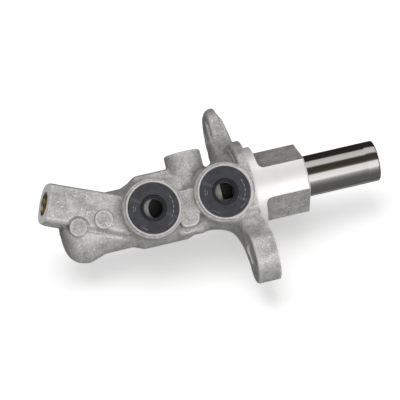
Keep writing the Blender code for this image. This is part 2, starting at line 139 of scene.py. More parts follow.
class Material(Wiring):
    """A Principled material textured in object space, in millimetres."""

    def __init__(self, name):
        self.material = bpy.data.materials.new(name)
        self.material.use_nodes = True
        super().__init__(self.material.node_tree)
        coords = self.new("ShaderNodeTexCoord")
        self.place = self.scaled(coords.outputs["Object"], 1000.0)

    def noise(self, scale, detail=3.0, rough=0.55, vector=None):
        node = self.new("ShaderNodeTexNoise")
        self.feed(vector or self.place, node.inputs["Vector"])
        node.inputs["Scale"].default_value = scale
        node.inputs["Detail"].default_value = detail
        node.inputs["Roughness"].default_value = rough
        return node.outputs[0]

    def ramp(self, value, span, to=(0.0, 1.0)):
        """Takes span's two values to the two greys of to."""
        node = self.new("ShaderNodeValToRGB")
        for element, position, grey in zip(node.color_ramp.elements, span, to):
            element.position = position
            element.color = (grey, grey, grey, 1)
        self.feed(value, node.inputs["Fac"])
        return node.outputs[0]

    def bump(self, height, distance, normal=None):
        """distance is in millimetres."""
        node = self.new("ShaderNodeBump")
        node.inputs["Strength"].default_value = 1.0
        node.inputs["Distance"].default_value = distance * MM
        self.feed(height, node.inputs["Height"])
        if normal is not None:
            self.feed(normal, node.inputs["Normal"])
        return node.outputs[0]

    def set(self, **inputs):
        """Feeds the Principled inputs and returns the material."""
        for key, value in inputs.items():
            self.feed(value, self.tree.nodes["Principled BSDF"].inputs[key.replace("_", " ")])
        return self.material

    def turned_lines(self):
        """A vector that changes along X on diameters and along the radius on faced ends."""
        x, y, z = self.separate(self.place)
        squares = self.math("ADD", self.math("MULTIPLY", y, y), self.math("MULTIPLY", z, z))
        lines = self.new("ShaderNodeCombineXYZ")
        self.feed(self.math("ADD", x, self.math("SQRT", squares, 0.0)), lines.inputs[0])
        return lines.outputs[0]


def cast_material():
    mat = Material("cast_aluminium_skin")
    broad = mat.noise(scale=0.045, detail=3, rough=0.6)
    blotch = mat.noise(scale=0.14, detail=5, rough=0.68)
    grain = mat.noise(scale=1.15, detail=3, rough=0.75)
    # real bright specks and nicks in the cast skin, also painted glints where light would catch them
    fleck_and_glint = mat.noise(scale=0.95, detail=3, rough=0.6)
    nick_and_glint = mat.noise(scale=0.62, detail=2, rough=0.5)
    geometry = mat.new("ShaderNodeNewGeometry")
    edge = mat.ramp(geometry.outputs["Pointiness"], span=(0.503, 0.545))
    # painted shade: ambient occlusion darkens the colour in creases and corners, laid in below
    occlusion = mat.new("ShaderNodeAmbientOcclusion", samples=8)
    occlusion.inputs["Distance"].default_value = 7 * MM
    crease = mat.ramp(occlusion.outputs["AO"], span=(0.30, 0.90), to=(1.0, 0.0))
    colour = mat.mix(mat.ramp(blotch, span=(0.38, 0.60)),
                     (0.45, 0.444, 0.428), (0.74, 0.732, 0.714))
    layers = (                                    # mask, tint laid over the colour so far
        (mat.ramp(broad, span=(0.40, 0.62), to=(0.0, 0.5)), (0.60, 0.585, 0.562)),
        (mat.ramp(grain, span=(0.34, 0.46), to=(0.60, 0.0)), (0.29, 0.285, 0.270)),
        (mat.ramp(grain, span=(0.55, 0.66), to=(0.0, 0.60)), (0.95, 0.945, 0.925)),
        # specks and nicks, partly painted glints
        (mat.ramp(fleck_and_glint, span=(0.62, 0.68), to=(0.0, 0.90)), (0.99, 0.985, 0.965)),
        (mat.ramp(nick_and_glint, span=(0.66, 0.69)), (1.0, 0.998, 0.985)),
        (mat.math("MULTIPLY", edge, 0.75), (0.93, 0.925, 0.90)),
        # painted shade laid into the creases
        (mat.math("MULTIPLY", crease, 0.78), (0.15, 0.145, 0.132)),
    )
    for mask, tint in layers:
        colour = mat.mix(mask, colour, tint)
    fine = mat.bump(mat.noise(scale=1.6, detail=3, rough=0.7), distance=0.085)
    skin = mat.bump(mat.noise(scale=0.42, detail=3, rough=0.6), distance=0.15, normal=fine)
    return mat.set(Base_Color=colour, Metallic=0.60, Normal=skin,
                   Roughness=mat.ramp(grain, span=(0.35, 0.65), to=(0.52, 0.34)))


def painted_shade_material():
    """Drilled recesses in the pocket floors, painted near black as shade."""
    mat = Material("painted_shade_recess")
    stain = mat.noise(scale=0.7, detail=3, rough=0.6)
    return mat.set(Base_Color=mat.mix(stain, (0.010, 0.010, 0.009), (0.035, 0.034, 0.030)),
                   Metallic=0.3, Roughness=mat.ramp(stain, span=(0.3, 0.7), to=(0.35, 0.6)))


def turned_material():
    mat = Material("turned_aluminium")
    lines = mat.turned_lines()
    marks = mat.noise(scale=2.6, detail=4, rough=0.7, vector=lines)
    wide = mat.noise(scale=0.35, detail=2, rough=0.5, vector=lines)
    blotch = mat.noise(scale=0.12, detail=3, rough=0.6)
    colour = mat.mix(marks, (0.86, 0.855, 0.835), (0.98, 0.978, 0.965))
    colour = mat.mix(mat.ramp(blotch, span=(0.4, 0.7), to=(0.0, 0.3)), colour,
                     (0.80, 0.79, 0.765))
    return mat.set(Base_Color=colour, Metallic=0.45,
                   Roughness=mat.ramp(marks, span=(0.3, 0.7), to=(0.26, 0.40)),
                   Normal=mat.bump(mat.math("ADD", marks, wide), distance=0.014))


def lit_faced_material():
    """A milled face, whiter and more matt than the turned diameters: a copy of the aluminium painted
    to look lit.
    """
    mat = Material("milled_aluminium_painted_lit")
    marks = mat.noise(scale=1.8, detail=3, rough=0.6)
    return mat.set(Base_Color=mat.mix(marks, (0.90, 0.895, 0.875), (0.99, 0.985, 0.97)),
                   Metallic=0.05, Normal=mat.bump(marks, distance=0.02),
                   Roughness=mat.ramp(marks, span=(0.3, 0.7), to=(0.30, 0.42)))


def tapped_material():
    """Threads and drillings: a warm, slightly golden cut surface."""
    mat = Material("tapped_gold")
    stain = mat.noise(scale=0.6, detail=3, rough=0.6)
    return mat.set(Base_Color=mat.mix(stain, (0.72, 0.56, 0.30), (0.86, 0.78, 0.56)),
                   Metallic=0.95, Roughness=mat.ramp(stain, span=(0.3, 0.7), to=(0.2, 0.34)),
                   Normal=mat.bump(mat.noise(scale=2.4, detail=2, rough=0.5), distance=0.02))


def ground_material():
    mat = Material("ground_steel")
    marks = mat.noise(scale=5.0, detail=3, rough=0.7, vector=mat.turned_lines())
    smear = mat.noise(scale=0.09, detail=3, rough=0.6)
    return mat.set(Base_Color=mat.mix(smear, (0.86, 0.845, 0.835), (0.93, 0.925, 0.915)),
                   Metallic=1.0, Roughness=mat.ramp(smear, span=(0.3, 0.7), to=(0.065, 0.12)),
                   Normal=mat.bump(marks, distance=0.0016))


def rubber_material(name, dark, light, rough):
    mat = Material(name)
    cloud = mat.noise(scale=0.28, detail=4, rough=0.6)
    dust = mat.noise(scale=1.6, detail=3, rough=0.7)
    geometry = mat.new("ShaderNodeNewGeometry")
    worn = mat.ramp(geometry.outputs["Pointiness"], span=(0.50, 0.56), to=(0.0, 0.5))
    colour = mat.mix(mat.ramp(cloud, span=(0.3, 0.7)), dark, light)
    colour = mat.mix(mat.ramp(dust, span=(0.62, 0.75), to=(0.0, 0.35)), colour,
                     tuple(c * 2.1 for c in light))
    colour = mat.mix(worn, colour, tuple(c * 1.8 for c in light))
    return mat.set(Base_Color=colour, Metallic=0.0,
                   Roughness=mat.ramp(cloud, span=(0.3, 0.7), to=(rough, rough + 0.14)),
                   Normal=mat.bump(dust, distance=0.02), Sheen_Weight=0.12)


def metal_material(name, low, high, rough, bump=0.01, scale=1.2, metallic=1.0):
    mat = Material(name)
    tone = mat.noise(scale=scale, detail=3, rough=0.6)
    stain = mat.noise(scale=0.2, detail=3, rough=0.6)
    colour = mat.mix(tone, low, high)
    colour = mat.mix(mat.ramp(stain, span=(0.5, 0.75), to=(0.0, 0.3)), colour,
                     tuple(c * 0.7 for c in low))
    return mat.set(Base_Color=colour, Metallic=metallic,
                   Roughness=mat.ramp(tone, span=(0.3, 0.7), to=(rough, rough + 0.12)),
                   Normal=mat.bump(mat.noise(scale=2.0, detail=3, rough=0.6), distance=bump))


def nylon_material():
    mat = Material("moulded_nylon")
    cloud = mat.noise(scale=0.4, detail=3, rough=0.6)
    return mat.set(Base_Color=mat.mix(cloud, (0.50, 0.47, 0.38), (0.62, 0.59, 0.50)),
                   Roughness=mat.ramp(cloud, span=(0.3, 0.7), to=(0.4, 0.55)),
                   Normal=mat.bump(mat.noise(scale=1.4, detail=3, rough=0.6), distance=0.02),
                   Subsurface_Weight=0.08, Subsurface_Radius=(0.002, 0.0015, 0.001))


CAST = cast_material()
TURNED = turned_material()
TAPPED = tapped_material()
LIT_FACED = lit_faced_material()
RIM = metal_material("skimmed_rim", low=(0.74, 0.735, 0.72), high=(0.97, 0.965, 0.95),
                     rough=0.30, bump=0.02, scale=0.5, metallic=0.65)
PAINTED_SHADE = painted_shade_material()
GROUND = ground_material()
RUBBER = rubber_material("moulded_rubber", dark=(0.021, 0.0215, 0.0245),
                         light=(0.042, 0.043, 0.049), rough=0.52)
LIP_RUBBER = rubber_material("lip_rubber", dark=(0.008, 0.008, 0.009),
                             light=(0.016, 0.016, 0.018), rough=0.30)
MARK_RUBBER = rubber_material("raised_rubber", dark=(0.085, 0.087, 0.094),
                              light=(0.12, 0.122, 0.13), rough=0.36)
SEAL = rubber_material("oiled_rubber", dark=(0.012, 0.012, 0.013),
                       light=(0.03, 0.03, 0.032), rough=0.16)
STEEL = metal_material("spring_steel", low=(0.30, 0.30, 0.31), high=(0.50, 0.50, 0.50), rough=0.24)
ZINC = metal_material("zinc_plate", low=(0.60, 0.61, 0.60), high=(0.78, 0.78, 0.76), rough=0.26)
ANODISED = metal_material("hard_anodised", low=(0.34, 0.345, 0.335), high=(0.46, 0.46, 0.445),
                          rough=0.30)
BRASS = metal_material("brass", low=(0.84, 0.66, 0.36), high=(0.96, 0.83, 0.56), rough=0.20)
NYLON = nylon_material()
FINISHES = (CAST, TURNED, TAPPED, PAINTED_SHADE, LIT_FACED, RIM)   # the casting's material slots


# ============================================================ mesh helpers
def linked(name, mesh):
    obj = bpy.data.objects.new(name, mesh)
    bpy.context.scene.collection.objects.link(obj)
    return obj


def smooth(mesh, sharp):
    mesh.shade_smooth()
    mesh.set_sharp_from_angle(angle=math.radians(sharp))


def mesh_object(name, solid, materials, sharp=35, matrix=None):
    if matrix is not None:
        bmesh.ops.transform(solid, matrix=matrix, verts=solid.verts)
    bmesh.ops.recalc_face_normals(solid, faces=solid.faces)
    mesh = bpy.data.meshes.new(name)
    solid.to_mesh(mesh)
    solid.free()
    for material in materials:
        mesh.materials.append(material)
    smooth(mesh, sharp)
    return linked(name, mesh)


def piece(name, solid, materials, body, sharp=30, matrix=None, replaces=True):
    """A finished piece; it replaces the CAD piece named as it is without its last word."""
    obj = mesh_object(name, solid, materials, sharp, matrix)
    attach(obj, body)
    if replaces:
        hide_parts(name.rsplit("_", 1)[0])
    return obj


def spun(profile, seg=128, angle=2 * math.pi, slots=None):
    """(axial, radius) points turned about X; radius 0 closes on the axis.

    slots gives each edge's material index.
    """
    solid = bmesh.new()
    points = [(axial * MM, radius * MM) for axial, radius in profile]
    on_axis = min(radius for _, radius in profile) < 1e-9
    whole = abs(angle - 2 * math.pi) < 1e-9
    count = seg if whole else seg + 1
    rings = []
    for axial, radius in points:
        if radius < 1e-12:
            rings.append([solid.verts.new((axial, 0, 0))] * count)
        else:
            rings.append([solid.verts.new((axial, radius * math.sin(angle * i / seg),
                                           radius * math.cos(angle * i / seg)))
                          for i in range(count)])
    pairs = list(zip(range(len(points)), range(1, len(points))))
    if not on_axis:
        pairs.append((len(points) - 1, 0))
    for k, (first, second) in enumerate(pairs):
        if points[first][1] < 1e-12 and points[second][1] < 1e-12:
            continue
        for i in range(seg):
            j = (i + 1) % count
            corners = []
            for vert in (rings[first][i], rings[first][j], rings[second][j], rings[second][i]):
                if vert not in corners:
                    corners.append(vert)
            face = solid.faces.new(corners)
            if slots:
                face.material_index = slots[k]
    if not whole:
        for i in (0, seg):
            solid.faces.new([ring[i] for ring in rings])
    return solid


def rounded(rows, steps=4):
    """Profile from (axial, radius, corner radius) rows; corner radius 0 stays sharp."""
    out = []
    for i, (axial, radius, corner_r) in enumerate(rows):
        if corner_r <= 0:
            out.append((axial, radius))
            continue
        point = Vector((axial, radius))
        back = Vector(rows[i - 1][:2]) - point
        ahead = Vector(rows[(i + 1) % len(rows)][:2]) - point
        half = back.angle(ahead) / 2
        reach = min(corner_r / math.tan(half), back.length * 0.49, ahead.length * 0.49)
        fillet = reach * math.tan(half)
        middle = (back.normalized() + ahead.normalized()).normalized()
        centre = point + middle * (fillet / math.sin(half))
        start = point + back.normalized() * reach - centre
        stop = point + ahead.normalized() * reach - centre
        angle = math.atan2(start.y, start.x)
        turn = (math.atan2(stop.y, stop.x) - angle + math.pi) % (2 * math.pi) - math.pi
        for k in range(steps + 1):
            at = angle + turn * k / steps
            out.append((centre.x + fillet * math.cos(at), centre.y + fillet * math.sin(at)))
    return out


def placed(origin, direction):
    """Moves a shape turned about X to origin, along direction; both in (X, U, T)."""
    way = Vector(direction).normalized()
    turn = Vector((1, 0, 0)).rotation_difference(way).to_matrix().to_4x4()
    return TILT @ Matrix.Translation(Vector(origin) * MM) @ turn


def cut_with(obj, cutters, sharp):
    """Takes the cutters out of obj one after another and removes them."""
    for tool in cutters:
        cut = obj.modifiers.new(tool.name, "BOOLEAN")
        cut.operation = "DIFFERENCE"
        cut.solver = "MANIFOLD"
        cut.object = tool
    bpy.context.view_layer.update()
    graph = bpy.context.evaluated_depsgraph_get()
    mesh = bpy.data.meshes.new_from_object(obj.evaluated_get(graph), depsgraph=graph)
    obj.modifiers.clear()
    obj.data = mesh
    smooth(mesh, sharp)
    for tool in cutters:
        bpy.data.objects.remove(tool)


# ==================================================== the casting's surface
# Signed distances in millimetres on float32 arrays, negative inside.
def soft_min(a, b, blend):
    """Union of two shapes with a fillet about blend wide."""
    h = np.clip(0.5 + 0.5 * (b - a) / blend, 0, 1)
    return b + (a - b) * h - blend * h * (1 - h)


def soft_max(a, b, blend):
    return -soft_min(-a, -b, blend)


def corner(a, b, edge):
    """Where both a and b are inside, the shared edge rounded by edge."""
    a, b = a + edge, b + edge
    outside = np.sqrt(np.maximum(a, 0) ** 2 + np.maximum(b, 0) ** 2)
    return np.minimum(np.maximum(a, b), 0) + outside - edge


def box(point, half, edge, centre=(0, 0, 0)):
    a, b, c = (np.abs(v - m) - h + edge for v, m, h in zip(point, centre, half))
    out = np.sqrt(np.maximum(a, 0) ** 2 + np.maximum(b, 0) ** 2 + np.maximum(c, 0) ** 2)
    return out + np.minimum(np.maximum(np.maximum(a, b), c), 0) - edge


def drum(distance, axial, radius, middle, half, edge):
    """Cylinder from the distance to its axis and the place along it."""
    return corner(distance - radius, np.abs(axial - middle) - half, edge)


def rise(value, start, width):
    """0 up to start, climbing to 1 over width."""
    return np.clip((value - start) / width, 0, 1)


def ridge(value, width, power=2):
    return np.exp(-(value / width) ** power)


BARREL = [                                        # x, radius
    (-140, 20.3), (-98.0, 20.3), (-89.0, 17.3), (-72.5, 17.2), (-66.5, 19.8), (-40.0, 19.8),
    (-36.5, 17.2), (-22.0, 17.3), (-16.0, 20.6), (-12.5, 23.0), (-8.0, 23.0), (20.0, 23.0)]
BARREL_X = np.linspace(-140, 20, 641)
window = np.hanning(17)                           # softens the outline's corners
BARREL_RADIUS = np.convolve(np.pad(np.interp(BARREL_X, *zip(*BARREL)), 8, mode="edge"),
                            window / window.sum(), mode="valid")


def barrel(x, u, t):
    """Stepped barrel, flattened on its +T side towards the nose."""
    flat = 1.0 + 0.22 * rise(-x, 85, 12) + 0.07 * rise(-x, 66, 6)
    oval = np.sqrt(u * u + (t * np.where(t > 0, flat, 1)) ** 2)
    slope = 0.93                                  # keeps the distance true on the tapers
    shape = (oval - np.interp(x, BARREL_X, BARREL_RADIUS).astype(np.float32)) * slope
    shape = soft_max(shape, NOSE_END - x, 14.0)
    return np.maximum(shape, x + 4)


def add_ribs(shape, x, u, t):
    """Two blocks along the barrel's +U side."""
    rib = box((x, u, t), centre=(-51.6, 11.9, 1.0), half=(14.2, 9.9, 8.6), edge=3.2)
    shape = soft_min(shape, rib, 2.6)
    web = box((x, u, t), centre=(-30, 9.5, 1.0), half=(9.5, 9.0, 8.0), edge=3.0)
    return soft_min(shape, web, 2.0)


def add_rear_outlet(shape, x, u, t):
    """Round boss towards +U, its inner end a ball."""
    ball_u = 11.5
    px, pt = x - REAR_PORT_X, t - REAR_PORT_T
    boss = np.sqrt(px * px + pt * pt + np.minimum(u - ball_u, 0) ** 2) - REAR_PORT_R
    boss = soft_max(boss, u - REAR_PORT_END, 1.4)
    return soft_min(shape, boss, 1.3)


def add_front_outlet(shape, x, u, t):
    """Flat-topped pad and round boss, with a groove in the barrel beside them."""
    px, pu, pt = x - PORT_END[0], u - PORT_END[1], t - PORT_END[2]
    inward = px * math.cos(RISE) - pu * math.sin(RISE)
    across = px * math.sin(RISE) + pu * math.cos(RISE)
    pad = box((inward, across, t), centre=(26.0, 0, 5.4), half=(26.0, 11.3, 11.3), edge=3.4)
    out = px * PORT_DIR[0] + pu * PORT_DIR[1] + pt * PORT_DIR[2]
    distance = np.sqrt(np.maximum(px * px + pu * pu + pt * pt - out * out, 0))
    port = drum(distance, out, radius=PORT_R, middle=-20.75, half=21.25, edge=0.8)
    port = soft_min(port, pad, 3.5)
    shape = soft_min(shape, port, 0.6)
    crease = ridge(across + 12.0, 0.9) * rise(inward, 12, 4) * rise(-inward, -54, 6)
    return shape + crease * rise(t, 9, 3) * 0.55


def add_ejector_marks(shape, x, u, t):
    """A raised disc on the pad, and nearer the nose one in a sunk ring."""
    px, pu = x + 87.3, u - 0.7
    distance = np.sqrt(px * px + pu * pu)
    disc = drum(distance, t, radius=5.3, middle=10.0, half=8.3, edge=0.3)
    shape = soft_min(shape, disc, 0.35)
    px, pu = x + 102.5, u + 0.4
    distance = np.sqrt(px * px + pu * pu)
    sunk = drum(distance, t, radius=6.5, middle=24.0, half=8.1, edge=0.3)
    shape = soft_max(shape, -sunk, 0.4)
    disc = drum(distance, t, radius=5.1, middle=10.0, half=7.4, edge=0.3)
    return soft_min(shape, disc, 0.4)


def add_reservoir_bosses(shape, x, u, t):
    """Bosses with cast collars; their tops are skimmed later."""
    for boss_x in GROMMET_X.values():
        distance = np.sqrt((x - boss_x) ** 2 + u * u)
        collar = drum(distance, t, radius=COLLAR_R, middle=13.0, half=13.1, edge=1.1)
        shape = soft_min(shape, collar, 2.6)
        boss = drum(distance, t, radius=BOSS_R, middle=13.5, half=14.6, edge=0.6)
        shape = soft_min(shape, boss, 0.7)
    return shape


def add_platform(shape, x, u, t):
    """Platform between the bosses, narrowing towards -U, and the ledge at that end."""
    narrow = rise(-u, 4.0, 10.0)
    plan = box((x + 39.3 + narrow, u + 4.0, x * 0), half=(7.6 - 2.6 * narrow, 10.6, 40), edge=3.4)
    platform = corner(plan, np.abs(t - 11.0) - 10.7, 0.9)
    shape = soft_min(shape, platform, 1.0)
    ledge = corner(np.abs(x + 39.0) - 7.5, np.abs(u + 13.0) - 5.0, 2.0)
    ledge = corner(ledge, np.abs(t - 6.0) - 7.2, 2.0)
    return soft_min(shape, ledge, 2.5)


DISC_OVERLAP = 3.0 / 2                            # half of the disc's run into the spigot
FAR_DRAFT, DRAFT_GAIN = 2.6, 4.1 / 2.6            # of the far ear's rear face


def flange(x, y, z, ear_y, ear_z, radius):
    """Disc, then a neck and a rounded end for each ear; the +Y ear is the far one."""
    disc = corner(radius - FLANGE_R,
                  np.abs(x + DISC_T / 2 - DISC_OVERLAP) - (DISC_T / 2 + DISC_OVERLAP), 1.9)
    out = np.abs(ear_y)
    reach = EAR_END - np.where(ear_y > 0, np.float32(1.1), np.float32(0))
    lobe = np.sqrt((out - reach) ** 2 + ear_z * ear_z) - EAR_R
    neck = np.maximum(np.maximum(np.abs(ear_z) - EAR_NECK, out - EAR_END), 10 - out)
    plan = soft_min(lobe, neck, 4.0)
    crown = np.where(ear_y > 0, rise(out, 40, 25) * 1.8, -rise(out, 38, 20) * 0.7)
    soft = 1.2 + rise(ear_y, 0, 10) * 2.9 + rise(ear_y, 56, 9) * 1.6
    ear = corner(plan, np.abs(x + 5.0) - (7.3 - crown), soft)
    draft = rise(ear_y, 36, 20) * rise(ear_z, 1, 7) * FAR_DRAFT
    ear = soft_max(ear, x - 1.5 + draft * DRAFT_GAIN, 2.2)
    shape = soft_min(disc, ear, 3.0)

    # far ear's upper edge: grooves beside a tongue, a recess nearer the bore, a bump
    upper = rise(ear_y, 30, 6) * rise(ear_z, 5, 4)
    front_groove = ridge(x + 10.3, 0.75)
    rear_groove = ridge(x + 2.9, 0.8)
    shape = shape + upper * (front_groove * 0.75 + rear_groove * 0.6 * rise(ear_y, 42, 1.2))
    hollow = ridge(x + 6.6, 3.0, power=4) * rise(ear_y, 27, 4) * rise(-ear_y, -42.0, 1.4)
    shape = shape + hollow * rise(ear_z, 4, 4) * 1.3
    away = ((x + 3.2) / 4.2) ** 2 + ((y - 26.0) / 4.0) ** 2 + ((z - 14.5) / 6.0) ** 2
    return shape - np.exp(-away) * 1.2


EAR_WEBS = (                                      # side of Y, reach in X, reach out, half width
    (-1, 20.0, 28.0, 8.2),
    (1, 18.0, 22.0, 7.0),
)


def add_ear_webs(shape, x, ear_y, ear_z):
    """Concave webs from the barrel out to each ear."""
    for side, reach, out, half in EAR_WEBS:
        side_y = ear_y * side
        centre_x, centre_y = -FLANGE_T - reach, 16.6 + out
        oval = np.sqrt((x - centre_x) ** 2 + ((side_y - centre_y) * (reach / out)) ** 2)
        web = np.maximum(np.maximum(centre_x - x, side_y - centre_y),
                         np.maximum(x + 6, 8 - side_y))
        web = soft_max(web, reach - oval, 0.6)
        web = soft_max(web, np.abs(ear_z) - half, 6.0)
        shape = soft_min(shape, web, 5.5)
    return shape


def spigot(x, u, t, radius):
    """Spigot blank with its four cast flats."""
    shape = drum(radius, x, radius=25.4, middle=13, half=20.5, edge=0.6)
    for degrees in (FLAT_ANGLE, -FLAT_ANGLE, 180 - FLAT_ANGLE, 180 + FLAT_ANGLE):
        angle = math.radians(degrees)
        outward = t * math.cos(angle) + u * math.sin(angle)
        sideways = np.abs(-t * math.sin(angle) + u * math.cos(angle))
        plan = corner(sideways - 16.9, FLAT_START - x, 4.2)
        shape = soft_max(shape, -soft_max(FLAT_R - outward, plan, 1.6), 0.7)
    return shape


PITS = (                                          # x, u, t, radius, depth
    (-41.3, -15.3, 14.0, 1.5, 1.2),
    (-24.6, -14.2, 14.5, 2.0, 1.3),
)


def add_flash_and_pits(shape, x, u, t):
    """Parting lines round the nose and on the -U side, and small pits."""
    flash = ridge(u, 0.55) * rise(-x, 92, 3) * rise(-t, -12, 3)
    shape = shape - flash * 0.22
    flash = ridge(x + 100.5 + np.abs(u + 9) * 0.45, 0.5) * rise(-u, 4, 3)
    shape = shape - flash * 0.16 * rise(t, -2, 3)
    for pit_x, pit_u, pit_t, size, deep in PITS:
        away = ((x - pit_x) ** 2 + (u - pit_u) ** 2 + (t - pit_t) ** 2) / (size * size)
        shape = shape + deep * np.exp(-away)
    return shape


def casting(x, y, z):
    """Signed distance to the as-cast surface."""
    u, t = (y + z) * SIN_45, (z - y) * SIN_45
    radius = np.sqrt(y * y + z * z)
    ear_y = y * math.cos(EAR_TURN) + z * math.sin(EAR_TURN)
    ear_z = z * math.cos(EAR_TURN) - y * math.sin(EAR_TURN)
    shape = barrel(x, u, t)
    for add in (add_ribs, add_rear_outlet, add_front_outlet, add_ejector_marks,
                add_reservoir_bosses, add_platform):
        shape = add(shape, x, u, t)
    shape = soft_min(shape, flange(x, y, z, ear_y, ear_z, radius), 2.4)
    shape = add_ear_webs(shape, x, ear_y, ear_z)
    shape = soft_min(shape, spigot(x, u, t, radius), 1.0)
    return add_flash_and_pits(shape, x, u, t).astype(np.float32)


def surface_nets(field, origin, cell):
    """Quad mesh of the field's zero level, one point per cell that the level crosses."""
    inside = field < 0
    size = tuple(s - 1 for s in field.shape)
    corners = [(i, j, k) for i in (0, 1) for j in (0, 1) for k in (0, 1)]
    total = np.zeros(size, np.int8)
    for i, j, k in corners:
        total += inside[i:i + size[0], j:j + size[1], k:k + size[2]]
    active = (total > 0) & (total < 8)
    cells = np.argwhere(active)
    index = -np.ones(size, np.int64)
    index[active] = np.arange(len(cells))
    crossings, count = np.zeros((len(cells), 3)), np.zeros(len(cells))
    for a in corners:
        for b in corners:
            if sum(b) - sum(a) != 1 or any(q < p for p, q in zip(a, b)):
                continue
            at_a = field[tuple((cells + a).T)]
            at_b = field[tuple((cells + b).T)]
            cross = (at_a < 0) != (at_b < 0)
            part = np.where(cross, at_a / np.where(cross, at_a - at_b, 1), 0)
            crossings += cross[:, None] * (np.array(a) + part[:, None] * (np.array(b) - np.array(a)))
            count += cross
    points = origin + cell * (cells + crossings / count[:, None])
    quads = []
    for axis in range(3):
        others = [a for a in range(3) if a != axis]
        low = inside[tuple(slice(0, -1) if a == axis else slice(1, -1) for a in range(3))]
        high = inside[tuple(slice(1, None) if a == axis else slice(1, -1) for a in range(3))]
        hit = np.argwhere(low != high)
        leaving = low[tuple(hit.T)]
        base = hit.copy()
        base[:, others] += 1
        around = []
        for back in ((1, 1), (0, 1), (0, 0), (1, 0)):
            at = base.copy()
            at[:, others] -= back
            around.append(index[tuple(at.T)])
        quad = np.stack(around, 1)
        outward = leaving if axis != 1 else ~leaving
        quad[~outward] = quad[~outward][:, ::-1]
        quads.append(quad)
    return points, np.concatenate(quads)


def settle(points):
    """Moves the points onto the surface; returns them and the field's gradient there."""
    passes, probe, longest = 3, 0.12, 0.25
    for _ in range(passes):
        value = casting(*points.T.astype(np.float32)).astype(float)
        gradient = np.empty_like(points)
        for axis in range(3):
            step = np.zeros(3)
            step[axis] = probe
            ahead = casting(*(points + step).T.astype(np.float32)).astype(float)
            behind = casting(*(points - step).T.astype(np.float32))
            gradient[:, axis] = (ahead - behind) / (2 * probe)
        square = np.maximum((gradient ** 2).sum(1), 0.25)
        move = -(value / square)[:, None] * gradient
        length = np.linalg.norm(move, axis=1)
        move *= (np.minimum(length, longest) / np.maximum(length, 1e-9))[:, None]
        points = points + move
    return points, gradient


def cast_mesh():
    cell, slab = 0.70, 12
    low, high = np.array((-131.0, -71.5, -31.5)), np.array((35.6, 71.5, 31.5))
    size = np.ceil((high - low) / cell).astype(int) + 1
    axes = [(low[i] + cell * np.arange(size[i])).astype(np.float32) for i in range(3)]
    field = np.empty(size, np.float32)
    for i in range(0, size[0], slab):
        grid = np.meshgrid(axes[0][i:i + slab], axes[1], axes[2], indexing="ij")
        field[i:i + slab] = casting(*grid)
    points, quads = surface_nets(field, low, cell)
    points, normals = settle(points)
    # the sand-like skin of the mould, as real relief
    normals /= np.maximum(np.linalg.norm(normals, axis=1), 1e-6)[:, None]
    relief = 0.055
    skin = np.array([noise.noise(Vector(p) * 0.55) * 0.6 + noise.noise(Vector(p) * 1.3) * 0.4
                     for p in points])
    points = points + normals * (skin * relief)[:, None]
    mesh = bpy.data.meshes.new("casting")
    mesh.vertices.add(len(points))
    mesh.vertices.foreach_set("co", (points * MM).astype(np.float32).ravel())
    mesh.loops.add(len(quads) * 4)
    mesh.loops.foreach_set("vertex_index", quads.astype(np.int32).ravel())
    mesh.polygons.add(len(quads))
    mesh.polygons.foreach_set("loop_start", np.arange(0, len(quads) * 4, 4, dtype=np.int32))
    mesh.update(calc_edges=True)
    mesh.validate()
    return mesh


# ------------------------------------------------------- machining cutters
def cutter(name, solid, finish, matrix):
    """A tool that leaves its own finish."""
    for face in solid.faces:
        face.material_index = FINISHES.index(finish)
    return mesh_object(name, solid, FINISHES, matrix=matrix)


def drill(name, radius, start, stop, finish, matrix, seg):
    """A plain round tool from start to stop along its axis."""
    profile = [(start, 0), (start, radius), (stop, radius), (stop, 0)]
    return cutter(name, spun(profile, seg), finish, matrix)


def box_tool(name, low, high):
    """A box between two (X, U, T) corners, its cut faces in the painted shade finish."""
    low, high = Vector(low), Vector(high)
    solid = bmesh.new()
    bmesh.ops.create_cube(solid, size=1)
    size = Matrix.Diagonal((*((high - low) * MM), 1))
    bmesh.ops.transform(solid, matrix=Matrix.Translation((low + high) / 2 * MM) @ size,
                        verts=solid.verts)
    return cutter(name, solid, PAINTED_SHADE, TILT)


def join(name, cutters):
    """Tools that don't touch, as one mesh."""
    solid = bmesh.new()
    for tool in cutters:
        solid.from_mesh(tool.data)
        bpy.data.objects.remove(tool)
    mesh = bpy.data.meshes.new(name)
    solid.to_mesh(mesh)
    solid.free()
    for finish in FINISHES:
        mesh.materials.append(finish)
    return linked(name, mesh)


def bore_tool():
    """The stepped bore with its seal grooves, mouth and clip groove."""
    profile = [(BORE_END - 2.0, 0), (BORE_END, BORE_R - 1.2), (BORE_END + 1.2, BORE_R)]
    edge = BORE_R + 0.25
    for start, stop in sorted(GROOVES.values()):
        profile += [(start - 0.25, BORE_R), (start, edge),
                    (start, SEAL_GROOVE_R - 0.3), (start + 0.3, SEAL_GROOVE_R),
                    (stop - 0.3, SEAL_GROOVE_R), (stop, SEAL_GROOVE_R - 0.3),
                    (stop, edge), (stop + 0.25, BORE_R)]
    chamfer_r = MOUTH_R + 1.1
    profile += [(MOUTH_X - 0.5, BORE_R), (MOUTH_X, BORE_R + 0.5), (MOUTH_X, MOUTH_R),
                (CLIP_START, MOUTH_R), (CLIP_START, CLIP_R),
                (CLIP_STOP, CLIP_R), (CLIP_STOP, MOUTH_R), (SPIGOT_LEN - 0.9, MOUTH_R),
                (SPIGOT_LEN + 0.2, chamfer_r), (SPIGOT_LEN + 3, chamfer_r), (SPIGOT_LEN + 3, 0)]
    return cutter("bore_tool", spun(profile, 128), TURNED, TILT)


